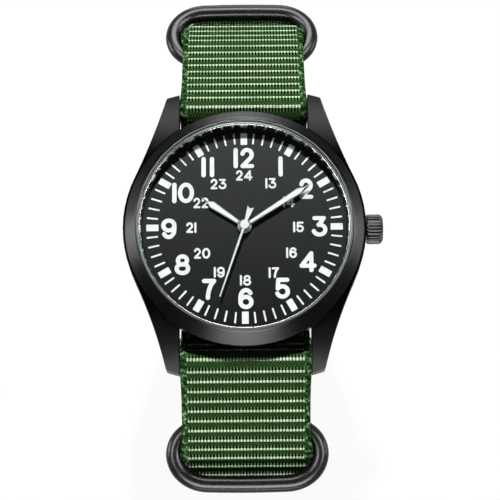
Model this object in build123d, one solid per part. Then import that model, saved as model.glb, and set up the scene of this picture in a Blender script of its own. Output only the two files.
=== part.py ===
from build123d import *

import math
import os

# A quartz field watch on a pass-through webbing strap with five stadium rings.
# It is modelled with the dial's top face at Z 0, 12 o'clock at +Y and the crown at +X.
# Every piece is lifted at the end, so that Z 0 is the under-strap's wrist side.
# Lengths are millimetres and angles are degrees.

# Clearances
slack = 0.05  # between fixed pieces that are dropped into each other
running = 0.04  # radial clearance of a turning or sliding fit
side_play = 0.15  # gap between a moving piece and what it passes
overrun = 1.0  # how far a cut runs past the piece it cuts

# Rounds are drawn with flats. Small or hidden ones have few: up to which radius, and how many
round_steps = ((0.5, 8), (2.4, 12), (10.0, 24), (30.0, 36))
seen_sides = 72

# Case and lugs
case_r = 20.3
case_waist_r = 19.6
case_seat_z = 0.9
case_top_chamfer = 0.4
case_depth = 5.2
case_foot_inset = 1.0
case_foot_rise = 1.2
bore_r = 17.65
bezel_step = 0.55
bezel_step_depth = 0.7
lug_width = 22.0
lug_side_angle = 25.0
lug_tip_width = 2.17
lug_reach = 24.2
lug_end_rake = 0.7
lug_shoulder_y = 11.0
lug_shoulder_z = 0.45
lug_mid_y = 18.5
lug_mid_z = -0.55
lug_tip_z = -2.6
lug_toe_z = -5.6
lug_foot_z = -6.5
lug_foot_y = 22.6
lug_heel_y = 16.5
lug_edge_round = 0.5

# Bezel, crystal and the sloped ring under it
bezel_outer_r = 19.6
bezel_top_z = 3.2
bezel_side_z = 1.3
bezel_top_r = 18.3
crystal_r = 17.7
crystal_t = 1.6
crystal_chamfer = 0.35
crystal_gasket_t = 0.25
crystal_gasket_h = 1.15
rehaut_top_z = 2.0
rehaut_bottom_r = 16.95
rehaut_lean = 0.4
rehaut_outer_r = 17.5

# Dial
dial_r = 17.45
dial_t = 0.4
dial_foot_r = 0.35
dial_foot_length = 1.3
dial_foot_circle_r = 12.45
dial_foot_angle = 35.0

# Case back
back_depth = 6.0
back_flange_r = 18.7
back_bevel = 0.55
back_plate_t = 1.2
back_wall_t = 1.1
back_wall_h = 0.9
back_notch_width = 2.4
back_notch_depth = 0.8
back_notches = 6
back_gasket_inner_r = 17.7
back_gasket_width = 0.6
back_gasket_t = 0.35

# Crown, tube and stem, whose axis runs along X
stem_z = -2.2
crown_r = 2.5
crown_gap = 0.15
crown_face_x = case_r + crown_gap
crown_length = 2.7
crown_chamfer = 0.45
crown_flutes = 26
crown_flute_depth = 0.22
crown_recess_depth = 1.5
tube_r = 1.2
tube_inner_r = 0.6
tube_inner_gap = 0.55
tube_inner_x = bore_r + tube_inner_gap
tube_reach = 1.1
crown_gasket_t = 0.3
crown_gasket_length = 0.5
crown_travel = 1.0
stem_r = 0.45
stem_inner_x = 5.9
stem_square = 0.62
stem_groove_r = 0.24
stem_groove_width = 0.5
stem_groove_x = 9.25

# Clutch wheel on the stem's square
clutch_x = 6.4
clutch_length = 1.3
clutch_r = 0.9
clutch_waist_r = 0.62
clutch_waist_length = 0.35
clutch_teeth = 8
clutch_tooth_depth = 0.2

# Movement levels below the dial's top face
plate_r = 13.0
plate_rim_width = 1.1
plate_top_z = -1.35
plate_t = 0.8
bridge_gap = 1.5
bridge_t = 0.45
wheel_t = 0.2
centre_wheel_drop = 0.35
third_wheel_drop = 0.8
seconds_wheel_drop = 1.25
pinion_h = 0.3
pivot_r = 0.12
arbor_r = 0.2
post_r = 0.18
pillar_r = 0.8
screw_r = 0.35
screw_head_r = 0.65
screw_head_t = 0.3
screw_slot = 0.16

# Stack of turning tubes in the dial's centre
seconds_arbor_r = 0.12
centre_tube_r = 0.36
cannon_tube_r = 0.58
hour_tube_r = 0.85
washer_width = 0.85

# Gear train: teeth, and where each arbor stands
pinion_teeth = 6
intermediate_teeth = 30
seconds_teeth = 36
third_teeth = 45
centre_teeth = 48
cannon_teeth = 8
minute_teeth = 24
setting_teeth = 16
hour_teeth = 24
tooth_module = 0.2
seconds_module = 0.24
motion_module = 0.1875
intermediate_angle = 100.0
third_angle = 200.0
rotor_angle = 20.0
minute_angle = -30.0
setting_angle = -22.5
addendum_share = 0.72
dedendum_share = 1.4
tooth_tip_share = 0.2

# Rotor, stator and coil
rotor_r = 1.0
rotor_h = 0.5
stator_hole_r = 1.25
stator_eye_r = 1.8
stator_t = 0.4
stator_drop = 1.0
stator_left_x = -6.3
stator_right_x = 7.3
stator_bar_y = 7.1
stator_bar_width = 1.6
stator_leg_width = 2.0
core_y = 9.3
core_width = 1.4
coil_length = 8.4
coil_width = 2.3
coil_h = 1.5
coil_flange = 0.4
coil_flange_rise = 0.15

# Battery, its clamp and the circuit
battery_x = 1.0
battery_y = -8.6
battery_r = 3.4
battery_h = 2.1
battery_step = 0.5
clamp_width = 1.8
clamp_t = 0.2
board_left_x = -12.2
board_right_x = -7.6
board_low_y = -6.6
board_high_y = 4.0
board_t = 0.25
board_drop = 1.3
board_circle_r = 12.5
chip_y = -4.6
chip_x = -9.2
chip_width = 1.8
chip_t = 0.4
can_x = -10.7
can_length = 4.6
can_r = 0.55
bridge_screw_places = ((5.6, -3.4), (-6.0, 5.0), (-4.6, -7.9))
bridge_edge_r = 1.15

# Setting lever
lever_pivot_y = 3.2
lever_pivot_x = 9.25
lever_width = 0.9
lever_t = 0.25
lever_pin_r = 0.17
lever_tail = 2.2
lever_post_r = 0.4

# Movement ring
ring_flange_t = 0.5
ring_wall_t = 1.0
ring_ribs = 6

# Hands
hour_hand_length = 8.7
minute_hand_length = 12.9
second_hand_length = 12.8
second_tail_length = 3.3
hour_hand_z = 0.6
minute_hand_z = 1.05
second_hand_z = 1.5
hand_t = 0.16
hour_hand_turn = -304.8
minute_hand_turn = -57.3
second_hand_turn = -198.9
hour_hand_neck = 0.6
minute_hand_neck = 0.55
hour_hand_belly = 1.25
minute_hand_belly = 1.1
hand_belly_share = 0.78
hand_shoulder_share = 0.86
hand_needle = 0.24
hand_point = 0.12
second_hand_base = 0.4
second_hand_tip = 0.18
second_tail_base = 0.45
second_tail_end = 1.1
second_tail_hollow = 0.3
hour_boss_r = 1.15
minute_boss_r = 0.9
second_boss_r = 0.72
boss_rise = 0.16

# Spring bars
bar_y = 22.1
bar_z = -4.4
bar_r = 0.75
bar_end_gap = 1.8
bar_half_length = lug_width / 2 - bar_end_gap
bar_inner_r = 0.52
plunger_r = 0.45
plunger_tip_r = 0.4
plunger_grip = 2.7
plunger_flange_r = 0.68
plunger_flange_t = 0.25
plunger_tip_reach = 1.0
bar_spring_wire = 0.12

# Webbing
strap_side_gap = 0.25
strap_width = lug_width - 2 * strap_side_gap
strap_t = 1.3
under_strap_t = 1.2
layer_gap = 0.1
strap_slope = 30.0
ring_bend = 11.0
ring_12_reach = 39.5
ring_6_reach = 36.5
shoulder_r = 4.0
strap_tuck = 18.0
sole_r = 24.0
loop_drop = 44.5
under_flat_y = 14.0
under_bend_r = 12.0
fold_dip = 50.0
fold_return = 5.0
pocket_pitch = 12.0
tail_past_keeper = 6.0
buckle_y = -10.0
nip_depth = 2.9
fold_nip_before = 2.4
fold_nip_after = 3.3
front_nip_before = 3.0
front_nip_after = 1.6
hole_pitch = 6.5
hole_r = 1.0
spare_holes = 3
prong_slot_width = 2.6

# Rings, keepers and buckle share one stadium shape
ring_side_room = 3.05
ring_width = strap_width + 2 * ring_side_room
ring_height = 12.6
ring_wire_r = 1.35
ring_corner_r = 4.4
ring_sides = 10
ring_corner_steps = 3
ring_seat_gap = 0.15

# Buckle prong
prong_width = 1.9
prong_t = 1.2
prong_tip_t = 0.8
prong_sleeve_width = 2.9
prong_sleeve_wall = 0.7
prong_root_inset = 0.18
prong_notch_depth = 0.75
prong_overhang = 0.15
prong_root_drop = 0.35


def round_face(radius, is_hole=False):
    """A round outline with flats. Those of a bar lie inside its circle, and those of a hole outside."""
    sides = next(count for limit, count in round_steps if radius < limit)
    return RegularPolygon(radius, sides, major_radius=not is_hole)


def disc(radius, low, high):
    """A solid round bar on the Z axis between two heights."""
    return Pos(0, 0, low) * extrude(round_face(radius), high - low)


def stacked(*points):
    """A round solid that is seen, with a slice between each (radius, height) point and the next."""
    body = Part()
    for (low_r, low), (high_r, high) in zip(points, points[1:]):
        outline = Pos(0, 0, low) * RegularPolygon(low_r, seen_sides)
        if low_r == high_r:
            body += extrude(outline, high - low)
        else:
            body += loft([outline, Pos(0, 0, high) * RegularPolygon(high_r, seen_sides)], ruled=True)
    return body


def hole(radius, low, high):
    """The cutter of a round hole on the Z axis between two heights."""
    return Pos(0, 0, low) * extrude(round_face(radius, True), high - low)


def tube(outer_r, inner_r, low, high):
    """A hollow round bar on the Z axis between two heights."""
    return Pos(0, 0, low) * extrude(round_face(outer_r) - round_face(inner_r, True), high - low)


def block(low, high):
    """A rectangular solid between two corners."""
    size = [b - a for a, b in zip(low, high)]
    middle = [(a + b) / 2 for a, b in zip(low, high)]
    return Pos(*middle) * Box(*size)


def along_x(shape):
    """Lays a shape made about the Z axis along X, on the stem's axis."""
    return Pos(0, 0, stem_z) * Rot(0, 90, 0) * shape


def at(place, shape):
    """Moves a shape to a place in the XY plane."""
    return Pos(place[0], place[1], 0) * shape


def polar(radius, angle):
    """A point in a plane at a distance and an angle."""
    return radius * math.cos(math.radians(angle)), radius * math.sin(math.radians(angle))


def stepped(place, distance, angle):
    """The point at a distance and an angle from another one."""
    step = polar(distance, angle)
    return place[0] + step[0], place[1] + step[1]


# Webbing paths in the (Y, Z) plane


class Track:
    """The centreline of a strap: straight runs and tangent turns, from one end to the other."""

    def __init__(self, start, heading):
        self.place = start
        self.heading = heading
        self.moves = []

    def run(self, length):
        self.moves.append((self.place, self.heading, length, 0.0))
        self.place = stepped(self.place, length, self.heading)
        return self

    def turn(self, radius, angle):
        """Turns left by a positive angle and right by a negative one."""
        side = math.copysign(90.0, angle)
        centre = stepped(self.place, radius, self.heading + side)
        self.moves.append((centre, self.heading - side, radius, angle))
        self.heading += angle
        self.place = stepped(centre, radius, self.heading - side)
        return self

    def length(self):
        return sum(m[2] * (math.radians(abs(m[3])) if m[3] else 1.0) for m in self.moves)

    def edges(self, offset):
        """The centreline moved sideways: to its left by a positive offset."""
        made = []
        for place, heading, size, angle in self.moves:
            if angle:
                radius = size - offset * math.copysign(1, angle)
                made.append(CenterArc(place, radius, heading, angle))
            else:
                start = stepped(place, offset, heading + 90)
                made.append(Line(start, stepped(start, size, heading)))
        return made

    def band(self, thickness, width):
        """The solid strap of this centreline, centred on X 0."""
        half = thickness / 2
        left, right = self.edges(half), self.edges(-half)
        caps = [Line(left[i] @ i, right[i] @ i) for i in (0, -1)]
        caps[1] = Line(left[-1] @ 1, right[-1] @ 1)
        face = make_face(Wire([*left, caps[1], *right, caps[0]]))
        return extrude(Plane.YZ * face, width / 2, both=True)


def fold_back(track, radius, side, pitch):
    """Wraps a strap round a bar and brings it back to lie one layer pitch from where it came."""
    track.turn(radius, side * (180 + fold_dip))
    rejoin(track, radius, -side, 2 * radius - pitch)


def rejoin(track, radius, side, fall):
    """Runs down a dip and levels out, once it has fallen by the whole distance."""
    angle = math.radians(fold_dip)
    rest = fall - 2 * radius * (1 - math.cos(angle))
    track.run(rest / math.sin(angle))
    track.turn(radius, side * fold_dip)


def rejoin_length(radius, fall):
    """How far along the strap a rejoin reaches from above the bar."""
    angle = math.radians(fold_dip)
    rest = fall - 2 * radius * (1 - math.cos(angle))
    return 2 * radius * math.sin(angle) + rest / math.tan(angle)


def pocket(track, radius, side, fall):
    """Climbs over a bar that lies between the layers, and comes down on its far side."""
    angle = math.radians(fold_dip)
    rest = fall - 2 * radius * (1 - math.cos(angle))
    track.turn(radius, side * fold_dip)
    track.run(rest / math.sin(angle))
    track.turn(radius, -2 * side * fold_dip)
    track.run(rest / math.sin(angle))
    track.turn(radius, side * fold_dip)


strap_half = strap_t / 2
wire_to_strap = ring_wire_r + ring_seat_gap + strap_half
wire_to_under = ring_wire_r + ring_seat_gap + under_strap_t / 2
eye_to_strap = wire_to_under + under_strap_t / 2 + layer_gap + strap_half
bar_spacing = ring_height - 2 * ring_wire_r
strap_flat_z = -back_depth - layer_gap - strap_half
under_flat_z = strap_flat_z - strap_half - layer_gap - under_strap_t / 2
wrap_r = bar_r + slack + strap_half
corner_r = bar_z - strap_flat_z
layer_pitch = strap_t + layer_gap
ring_lean = math.degrees(math.asin((eye_to_strap + wire_to_strap) / bar_spacing))
ring_plane = ring_lean - strap_slope - ring_bend
lift = under_strap_t / 2 - under_flat_z


def ring_run(reach):
    """The sloped run from the spring bar to above the back bar of a ring at this distance."""
    back_y = reach - polar(bar_spacing / 2, ring_plane)[0]
    slope = math.radians(strap_slope)
    top_y = back_y + eye_to_strap * math.sin(slope)
    return (top_y - bar_y - wrap_r * math.sin(slope)) / math.cos(slope)


def head_track(reach):
    """Half of the main strap, from under the case, over a spring bar, to beyond its ring."""
    track = Track((0.0, strap_flat_z), 0.0)
    track.run(bar_y - wrap_r - corner_r)
    track.turn(corner_r, 90)
    track.turn(wrap_r, -90 - strap_slope)
    track.run(ring_run(reach))
    back_bar = stepped(track.place, eye_to_strap, track.heading - 90)
    track.turn(eye_to_strap, -ring_bend)
    track.run(bar_spacing * math.cos(math.radians(ring_lean)))
    return track, back_bar


def round_wrist(track, level):
    """Takes the strap down the side of the wrist and on to its level at the bottom."""
    track.turn(shoulder_r, -90 - strap_tuck - track.heading)
    sole_fall = sole_r * (1 - math.sin(math.radians(strap_tuck)))
    left = track.place[1] - sole_fall - level
    track.run(left / math.cos(math.radians(strap_tuck)))
    track.turn(sole_r, strap_tuck - 90)
    return track


level_a = -loop_drop
level_b = level_a - layer_pitch
heel_z = level_a + wire_to_strap
buckle_lean = math.degrees(
    math.asin((2 * wire_to_strap + layer_pitch) / bar_spacing)
)
pocket_fall = 2 * wire_to_strap - layer_pitch
pocket_half = rejoin_length(wire_to_strap, pocket_fall)
keeper_ys = [buckle_y + pocket_pitch * n for n in (1, 2)]
tail_end_y = keeper_ys[-1] + bar_spacing + tail_past_keeper


def buckle_half():
    """The 12 side of the main strap, folded round the buckle and over both keepers."""
    track, back_bar = head_track(ring_12_reach)
    round_wrist(track, level_a)
    track.run(track.place[0] - buckle_y)
    fold_back(track, wire_to_strap, -1, layer_pitch)
    valley = pocket_pitch - 2 * pocket_half
    for _ in keeper_ys:
        track.run(valley)
        pocket(track, wire_to_strap, 1, pocket_fall)
    track.run(fold_return)
    return track, back_bar


def tail_half():
    """The 6 side of the main strap, mirrored, through the buckle and the keepers."""
    track, back_bar = head_track(ring_6_reach)
    round_wrist(track, level_b)
    track.run(track.place[0] + tail_end_y)
    return track, back_bar


def under_half(back_bar):
    """Half of the under-strap, to its eye round a ring's back bar."""
    centre = (under_flat_y, under_flat_z - under_bend_r)
    gap = (back_bar[0] - centre[0], back_bar[1] - centre[1])
    along = math.degrees(math.atan2(gap[1], gap[0]))
    lean = math.degrees(math.asin((under_bend_r - wire_to_under) / math.hypot(*gap)))
    track = Track((0.0, under_flat_z), 0.0)
    track.run(under_flat_y)
    track.turn(under_bend_r, along - lean)
    track.run(math.sqrt(math.hypot(*gap) ** 2 - (under_bend_r - wire_to_under) ** 2))
    fold_back(track, wire_to_under, -1, under_strap_t + layer_gap)
    track.run(fold_return)
    return track


def mirrored(shape):
    """The same piece on the 6 side."""
    return mirror(shape, Plane.XZ)


def ring_outline():
    """The centreline of a ring in its own plane, from the middle of its back bar."""
    half_width = ring_width / 2 - ring_wire_r - ring_corner_r
    points = [(0.0, 0.0)]
    corners = (
        (half_width, ring_corner_r),
        (half_width, bar_spacing - ring_corner_r),
        (-half_width, bar_spacing - ring_corner_r),
        (-half_width, ring_corner_r),
    )
    for turn, centre in enumerate(corners):
        for step in range(ring_corner_steps + 1):
            angle = 90 * (turn - 1 + step / ring_corner_steps)
            points.append(stepped(centre, ring_corner_r, angle))
    return Polyline(*points, close=True)


def ring_body(notch_depth=0.0):
    """A closed wire ring. Its flats and its mitred corners are narrow enough to read as round."""
    path = ring_outline()
    section = Plane.YZ * RegularPolygon(ring_wire_r, ring_sides)
    body = sweep(section, path=path, transition=Transition.RIGHT)
    if notch_depth:
        bed_z = ring_wire_r - notch_depth
        half = prong_width / 2 + side_play
        low = (-half, bar_spacing - 2 * ring_wire_r, -ring_wire_r - overrun)
        high = (half, bar_spacing + 2 * ring_wire_r, -bed_z)
        body -= block(low, high)
    return body


def posed(shape, bar, angle, mirror_it=False):
    """Puts a ring's back bar at (Y, Z) and turns its plane up from +Y by an angle."""
    placed = Pos(0, bar[0], bar[1]) * Rot(angle, 0, 0) * shape
    return mirrored(placed) if mirror_it else placed


def nips(place, heading, before, after, below, above):
    """Cutters that narrow a strap where a ring's corners cross its edges."""
    low = (strap_width / 2 - nip_depth, -before, -below)
    high = (strap_width / 2 + overrun, after, above)
    one = Pos(0, place[0], place[1]) * Rot(heading, 0, 0) * block(low, high)
    return one + mirror(one, Plane.YZ)


# Straps and rings


def strap_parts():
    """The main strap, the under-strap and what they carry."""
    track_12, bar_12 = buckle_half()
    track_6, bar_6 = tail_half()
    main = track_12.band(strap_t, strap_width) + mirrored(track_6.band(strap_t, strap_width))
    under_12, under_6 = under_half(bar_12), under_half(bar_6)
    under = under_12.band(under_strap_t, strap_width)
    under += mirrored(under_6.band(under_strap_t, strap_width))

    eye_reach = wire_to_under + under_strap_t
    past_strap = 2 * wire_to_strap
    for bar, flip in ((bar_12, False), (bar_6, True)):
        front = stepped(bar, bar_spacing, ring_plane)
        slope = -strap_slope - ring_bend
        eye = nips(bar, 0, ring_wire_r, eye_reach, eye_reach, eye_reach)
        ends = nips(front, slope, front_nip_before, front_nip_after, past_strap, 0)
        under -= mirrored(eye) if flip else eye
        main -= mirrored(ends) if flip else ends
    main -= bottom_nips()
    main -= prong_slots()

    ring = ring_body()
    shapes = {
        "strap_main": main,
        "strap_under": under,
        "ring_12": posed(ring, bar_12, ring_plane),
        "ring_6": posed(ring, bar_6, ring_plane, True),
        "keeper_1": posed(ring, (keeper_ys[0], heel_z), -buckle_lean),
        "keeper_2": posed(ring, (keeper_ys[1], heel_z), -buckle_lean),
        "buckle_frame": posed(ring_body(prong_notch_depth), (-buckle_y, heel_z), -buckle_lean, True),
        "buckle_prong": posed(prong_body(), (-buckle_y, heel_z), -buckle_lean, True),
    }
    print("strap length", round(track_12.length() + track_6.length(), 1))
    print("under-strap length", round(under_12.length() + under_6.length(), 1))
    print("bars", bar_12, bar_6, "ring plane", ring_plane, "buckle lean", buckle_lean)
    return shapes


def bottom_nips():
    """Where the buckle and the keepers cross the strap's edges at the bottom of the loop."""
    across = bar_spacing * math.cos(math.radians(buckle_lean))
    fold_high = wire_to_strap + strap_t
    cutters = []
    for y, side in ((buckle_y, -1), (keeper_ys[0], 1), (keeper_ys[1], 1)):
        before, after = fold_nip_before, fold_nip_after
        front_before, front_after = front_nip_before, front_nip_after
        if side < 0:
            before, after = after, fold_high
            front_before, front_after = front_after, front_before
        fold_low = wire_to_strap + strap_half + layer_gap / 2
        cutters.append(nips((y, heel_z), 0, before, after, fold_low, fold_high))
        front = (y + side * across, level_b)
        cutters.append(nips(front, 0, front_before, front_after, strap_t, strap_half + layer_gap / 2))
    return Part() + cutters


def prong_slots():
    """The slot for the prong's sleeve, the slot that the prong stands in and the spare holes."""
    half = prong_sleeve_width / 2 + side_play
    reach = wire_to_strap + strap_t
    sleeve_low = (-half, buckle_y - reach, level_a - strap_half - layer_gap / 2)
    sleeve_high = (half, buckle_y + reach, heel_z + reach)
    cutters = block(sleeve_low, sleeve_high)
    slot_low_y = buckle_y - bar_spacing * math.cos(math.radians(buckle_lean)) + ring_wire_r
    low = (-prong_slot_width / 2, slot_low_y, level_b - strap_t)
    high = (prong_slot_width / 2, buckle_y + ring_wire_r, level_b + strap_half + layer_gap / 2)
    cutters += block(low, high)
    for n in range(1, spare_holes + 1):
        y = buckle_y - bar_spacing - n * hole_pitch
        cutters += Pos(0, y, 0) * disc(hole_r, level_b - strap_t, level_b + strap_t)
    return cutters


def prong_body():
    """The prong in its ring's own plane: a sleeve round the back bar and a tapered tongue."""
    sleeve_r = ring_wire_r + running + prong_sleeve_wall
    half = prong_sleeve_width / 2
    sleeve = Rot(0, 90, 0) * tube(sleeve_r, ring_wire_r + running, -half, half)
    bed = -(ring_wire_r - prong_notch_depth) - slack
    tip_y = bar_spacing + prong_overhang
    root_y = ring_wire_r + running + prong_root_inset
    outline = (
        (root_y, -prong_root_drop),
        (tip_y, bed),
        (tip_y, bed - prong_tip_t),
        (root_y, -prong_root_drop - prong_t),
    )
    tongue = extrude(Plane.YZ * make_face(Polyline(*outline, close=True)), prong_width / 2, both=True)
    return sleeve + tongue


def spring_bar(y):
    """A spring bar between a pair of lugs: tube, two plungers and the spring between them."""
    place = Pos(0, y, bar_z) * Rot(0, 90, 0)
    barrel = place * tube(bar_r, bar_inner_r, -bar_half_length, bar_half_length)
    grip_x = bar_half_length - plunger_grip
    lug_x = lug_width / 2
    flange_x = lug_x - side_play - plunger_flange_t
    rod = disc(plunger_r, grip_x, flange_x) + disc(plunger_flange_r, flange_x, lug_x - side_play)
    rod += disc(plunger_tip_r, lug_x - side_play, lug_x + plunger_tip_reach)
    right = place * rod
    left = mirror(right, Plane.YZ)
    spring = place * tube(plunger_r, plunger_r - bar_spring_wire, -grip_x, grip_x)
    return barrel, left, right, spring


# Watch head


def lug_outline():
    """The plan of both pairs of lugs: hollow sides that leave the round of the case along it."""
    touch = Vector(*polar(case_r, lug_side_angle))
    tip = Vector(lug_width / 2 + lug_tip_width, lug_reach - lug_end_rake)
    inner = Vector(lug_width / 2, lug_reach)
    middle = TangentArc(touch, tip, tangent=Vector(-touch.Y, touch.X)) @ 0.5
    edges = []
    for side_y in (1, -1):
        for side_x in (side_y, -side_y):
            near, bow, far, end = [Vector(side_x * p.X, side_y * p.Y) for p in (touch, middle, tip, inner)]
            edges += [ThreePointArc(near, bow, far), Line(far, end)]
        edges.append(Line(end, Vector(-end.X, end.Y)))
        edges.append(Line(near, Vector(near.X, -near.Y)))
    return make_face(edges)


def lug_side():
    """The side view of the lugs: a shoulder that falls to the tip, and a foot under the bar."""
    made = []
    for side in (1, -1):
        shoulder = (side * lug_shoulder_y, lug_shoulder_z)
        middle = (side * lug_mid_y, lug_mid_z)
        tip = (side * lug_reach, lug_tip_z)
        toe = (side * lug_reach, lug_toe_z)
        foot = (side * lug_foot_y, lug_foot_z)
        heel = (side * lug_heel_y, -case_depth)
        edges = [
            Line((0, lug_shoulder_z), shoulder),
            ThreePointArc(shoulder, middle, tip),
            Line(tip, toe),
            Line(toe, foot),
            Line(foot, heel),
            Line(heel, (0, -case_depth)),
            Line((0, -case_depth), (0, lug_shoulder_z)),
        ]
        made.append(make_face(Wire(edges)))
    return made[0] + made[1]


def case_body():
    """The middle of the case, with its lugs, its bore and the seats of bezel, tube and bars."""
    body = stacked(
        (case_r - case_foot_inset, -case_depth),
        (case_r, -case_depth + case_foot_rise),
        (case_r, case_seat_z - case_top_chamfer),
        (case_r - case_top_chamfer, case_seat_z),
    )
    reach = lug_reach + overrun
    lugs = Pos(0, 0, -lug_reach) * extrude(lug_outline(), 2 * lug_reach)
    lugs &= extrude(Plane.YZ * lug_side(), reach, both=True)
    near_tip_y = lug_reach - lug_end_rake - slack
    tips = [e for e in lugs.edges().filter_by(Axis.Z) if abs(e.center().Y) > near_tip_y]
    lugs = fillet([e for e in tips if abs(e.center().X) > lug_width / 2 + slack], lug_edge_round)
    body += lugs
    gap = block((-lug_width / 2, -reach, -reach), (lug_width / 2, reach, reach))
    body -= gap - stacked((case_waist_r, -reach), (case_waist_r, reach))
    body -= block((-lug_width / 2, -reach, -reach), (lug_width / 2, reach, -case_depth))
    body -= hole(back_flange_r + side_play, -reach, -case_depth)
    body -= hole(bore_r, -reach, reach)
    body -= hole(bore_r + bezel_step, case_seat_z - bezel_step_depth, reach)
    hole_end = lug_width / 2 + plunger_tip_reach + side_play
    tip_hole = Rot(0, 90, 0) * hole(plunger_tip_r + running, -hole_end, hole_end)
    for y in (bar_y, -bar_y):
        body -= Pos(0, y, bar_z) * tip_hole
    body -= along_x(hole(tube_r, bore_r - overrun, case_r + overrun))
    return body


def bezel_body():
    """The bezel ring, pressed into the case, with its sloped side."""
    gasket_r = crystal_r + crystal_gasket_t
    foot_z = case_seat_z - bezel_step_depth
    body = stacked((bezel_outer_r, case_seat_z), (bezel_outer_r, bezel_side_z), (bezel_top_r, bezel_top_z))
    body += disc(bore_r + bezel_step, foot_z, case_seat_z)
    body -= stacked((gasket_r, rehaut_top_z), (gasket_r, bezel_top_z))
    body -= stacked((rehaut_outer_r + slack, foot_z), (rehaut_outer_r + slack, rehaut_top_z))
    return body


def crystal_body():
    top = rehaut_top_z + crystal_t
    side = ((crystal_r, rehaut_top_z), (crystal_r, top - crystal_chamfer))
    return stacked(*side, (crystal_r - crystal_chamfer, top))


def rehaut_body():
    """The sloped inner ring that stands on the dial and carries the crystal."""
    body = stacked((rehaut_outer_r, 0), (rehaut_outer_r, rehaut_top_z))
    return body - stacked((rehaut_bottom_r, 0), (rehaut_bottom_r + rehaut_lean, rehaut_top_z))


def dial_foot_places():
    return [polar(dial_foot_circle_r, dial_foot_angle + turn) for turn in (0, 180)]


def dial_body():
    """The dial plate, with its centre hole and two feet."""
    body = disc(dial_r, -dial_t, 0) - hole(hour_tube_r + side_play, -dial_t, 0)
    for place in dial_foot_places():
        body += at(place, disc(dial_foot_r, -dial_t - dial_foot_length, -dial_t))
    return body


def back_body():
    """The case back: a flange with a bevel and wrench notches, and the wall of its thread."""
    bottom = -back_depth
    rim = -case_depth
    inner_z = bottom + back_plate_t
    wall_r = bore_r - slack
    side = ((back_flange_r, bottom + back_bevel), (back_flange_r, rim))
    body = stacked((back_flange_r - back_bevel, bottom), *side)
    body -= hole(back_gasket_inner_r + back_gasket_width, rim - back_gasket_t, rim + overrun)
    body += disc(wall_r, rim - back_gasket_t - slack, rim + back_wall_h)
    body -= hole(wall_r - back_wall_t, inner_z, rim + overrun)
    half = back_notch_width / 2
    low = (back_flange_r - back_notch_depth - back_bevel, -half, bottom - overrun)
    notch = block(low, (back_flange_r + overrun, half, bottom + back_bevel))
    for n in range(back_notches):
        body -= Rot(0, 0, 360 * (n + 1 / 2) / back_notches) * notch
    return body


def crown_outline(radius):
    """The crown's fluted section: a round with shallow valleys."""
    points = []
    for n in range(crown_flutes):
        points.append(polar(radius, 360 * n / crown_flutes))
        points.append(polar(radius - crown_flute_depth, 360 * (n + 1 / 2) / crown_flutes))
    return make_face(Polyline(*points, close=True))


def crown_parts():
    """The crown, its gasket, the fixed tube and the stem."""
    far_x = crown_face_x + crown_length
    recess_r = tube_r + running + crown_gasket_t
    outline = crown_outline(crown_r)
    crown = Pos(0, 0, crown_face_x) * extrude(outline, crown_length - crown_chamfer)
    end = Pos(0, 0, far_x) * crown_outline(crown_r - crown_chamfer)
    crown += loft([Pos(0, 0, far_x - crown_chamfer) * outline, end], ruled=True)
    crown -= hole(recess_r, crown_face_x, crown_face_x + crown_recess_depth)
    stem_end_x = crown_face_x + crown_recess_depth + crown_chamfer
    crown -= disc(stem_r, crown_face_x, stem_end_x)
    gasket_x = crown_face_x + crown_recess_depth - crown_gasket_length - crown_travel / 2
    gasket = tube(recess_r, tube_r + running, gasket_x, gasket_x + crown_gasket_length)
    barrel = tube(tube_r, tube_inner_r, tube_inner_x, crown_face_x + tube_reach)
    groove_half = stem_groove_width / 2
    clutch_end_x = clutch_x + clutch_length + crown_travel
    stem = disc(stem_r, clutch_end_x, stem_end_x)
    groove_low, groove_high = stem_groove_x - groove_half, stem_groove_x + groove_half
    stem -= disc(2 * stem_r, groove_low, groove_high)
    stem += disc(stem_groove_r, groove_low, groove_high)
    square = Rectangle(stem_square, stem_square)
    stem += Pos(0, 0, stem_inner_x) * extrude(square, clutch_end_x - stem_inner_x)
    return {
        "crown": along_x(crown),
        "crown_gasket": along_x(gasket),
        "crown_tube": along_x(barrel),
        "stem": along_x(stem),
    }


def clutch_body():
    """The clutch wheel, which slides on the stem's square and has face teeth at its inner end."""
    end_x = clutch_x + clutch_length
    waist_x = clutch_x + (clutch_length - clutch_waist_length) / 2
    body = disc(clutch_r, clutch_x, waist_x) + disc(clutch_waist_r, waist_x, waist_x + clutch_waist_length)
    body += disc(clutch_r, waist_x + clutch_waist_length, end_x)
    width = stem_square + 2 * running
    body -= Pos(0, 0, clutch_x) * extrude(Rectangle(width, width), clutch_length)
    width = math.pi * clutch_r / clutch_teeth
    low = (clutch_waist_r, -width / 2, clutch_x)
    notch = block(low, (clutch_r + slack, width / 2, clutch_x + clutch_tooth_depth))
    for n in range(clutch_teeth):
        body -= Rot(0, 0, 360 * n / clutch_teeth) * notch
    return along_x(body)


# Gear train


def gear_outline(teeth, module, tooth_angle):
    """Straight-flanked teeth with flat tips, one of them centred on an angle."""
    pitch_r = module * teeth / 2
    root_r = pitch_r - dedendum_share * module
    tip_r = pitch_r + addendum_share * module
    step = 360 / teeth
    corners = ((root_r, -1 / 2), (tip_r, -tooth_tip_share / 2), (tip_r, tooth_tip_share / 2))
    points = []
    for n in range(teeth):
        points += [polar(radius, tooth_angle + step * (n + share)) for radius, share in corners]
    return make_face(Polyline(*points, close=True))


def gear(teeth, module, tooth_angle, low, high):
    return Pos(0, 0, low) * extrude(gear_outline(teeth, module, tooth_angle), high - low)


def gap_angle(teeth, towards):
    """The tooth angle that puts a gap, not a tooth, on the line towards the driving gear."""
    return towards + 180 / teeth


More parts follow.
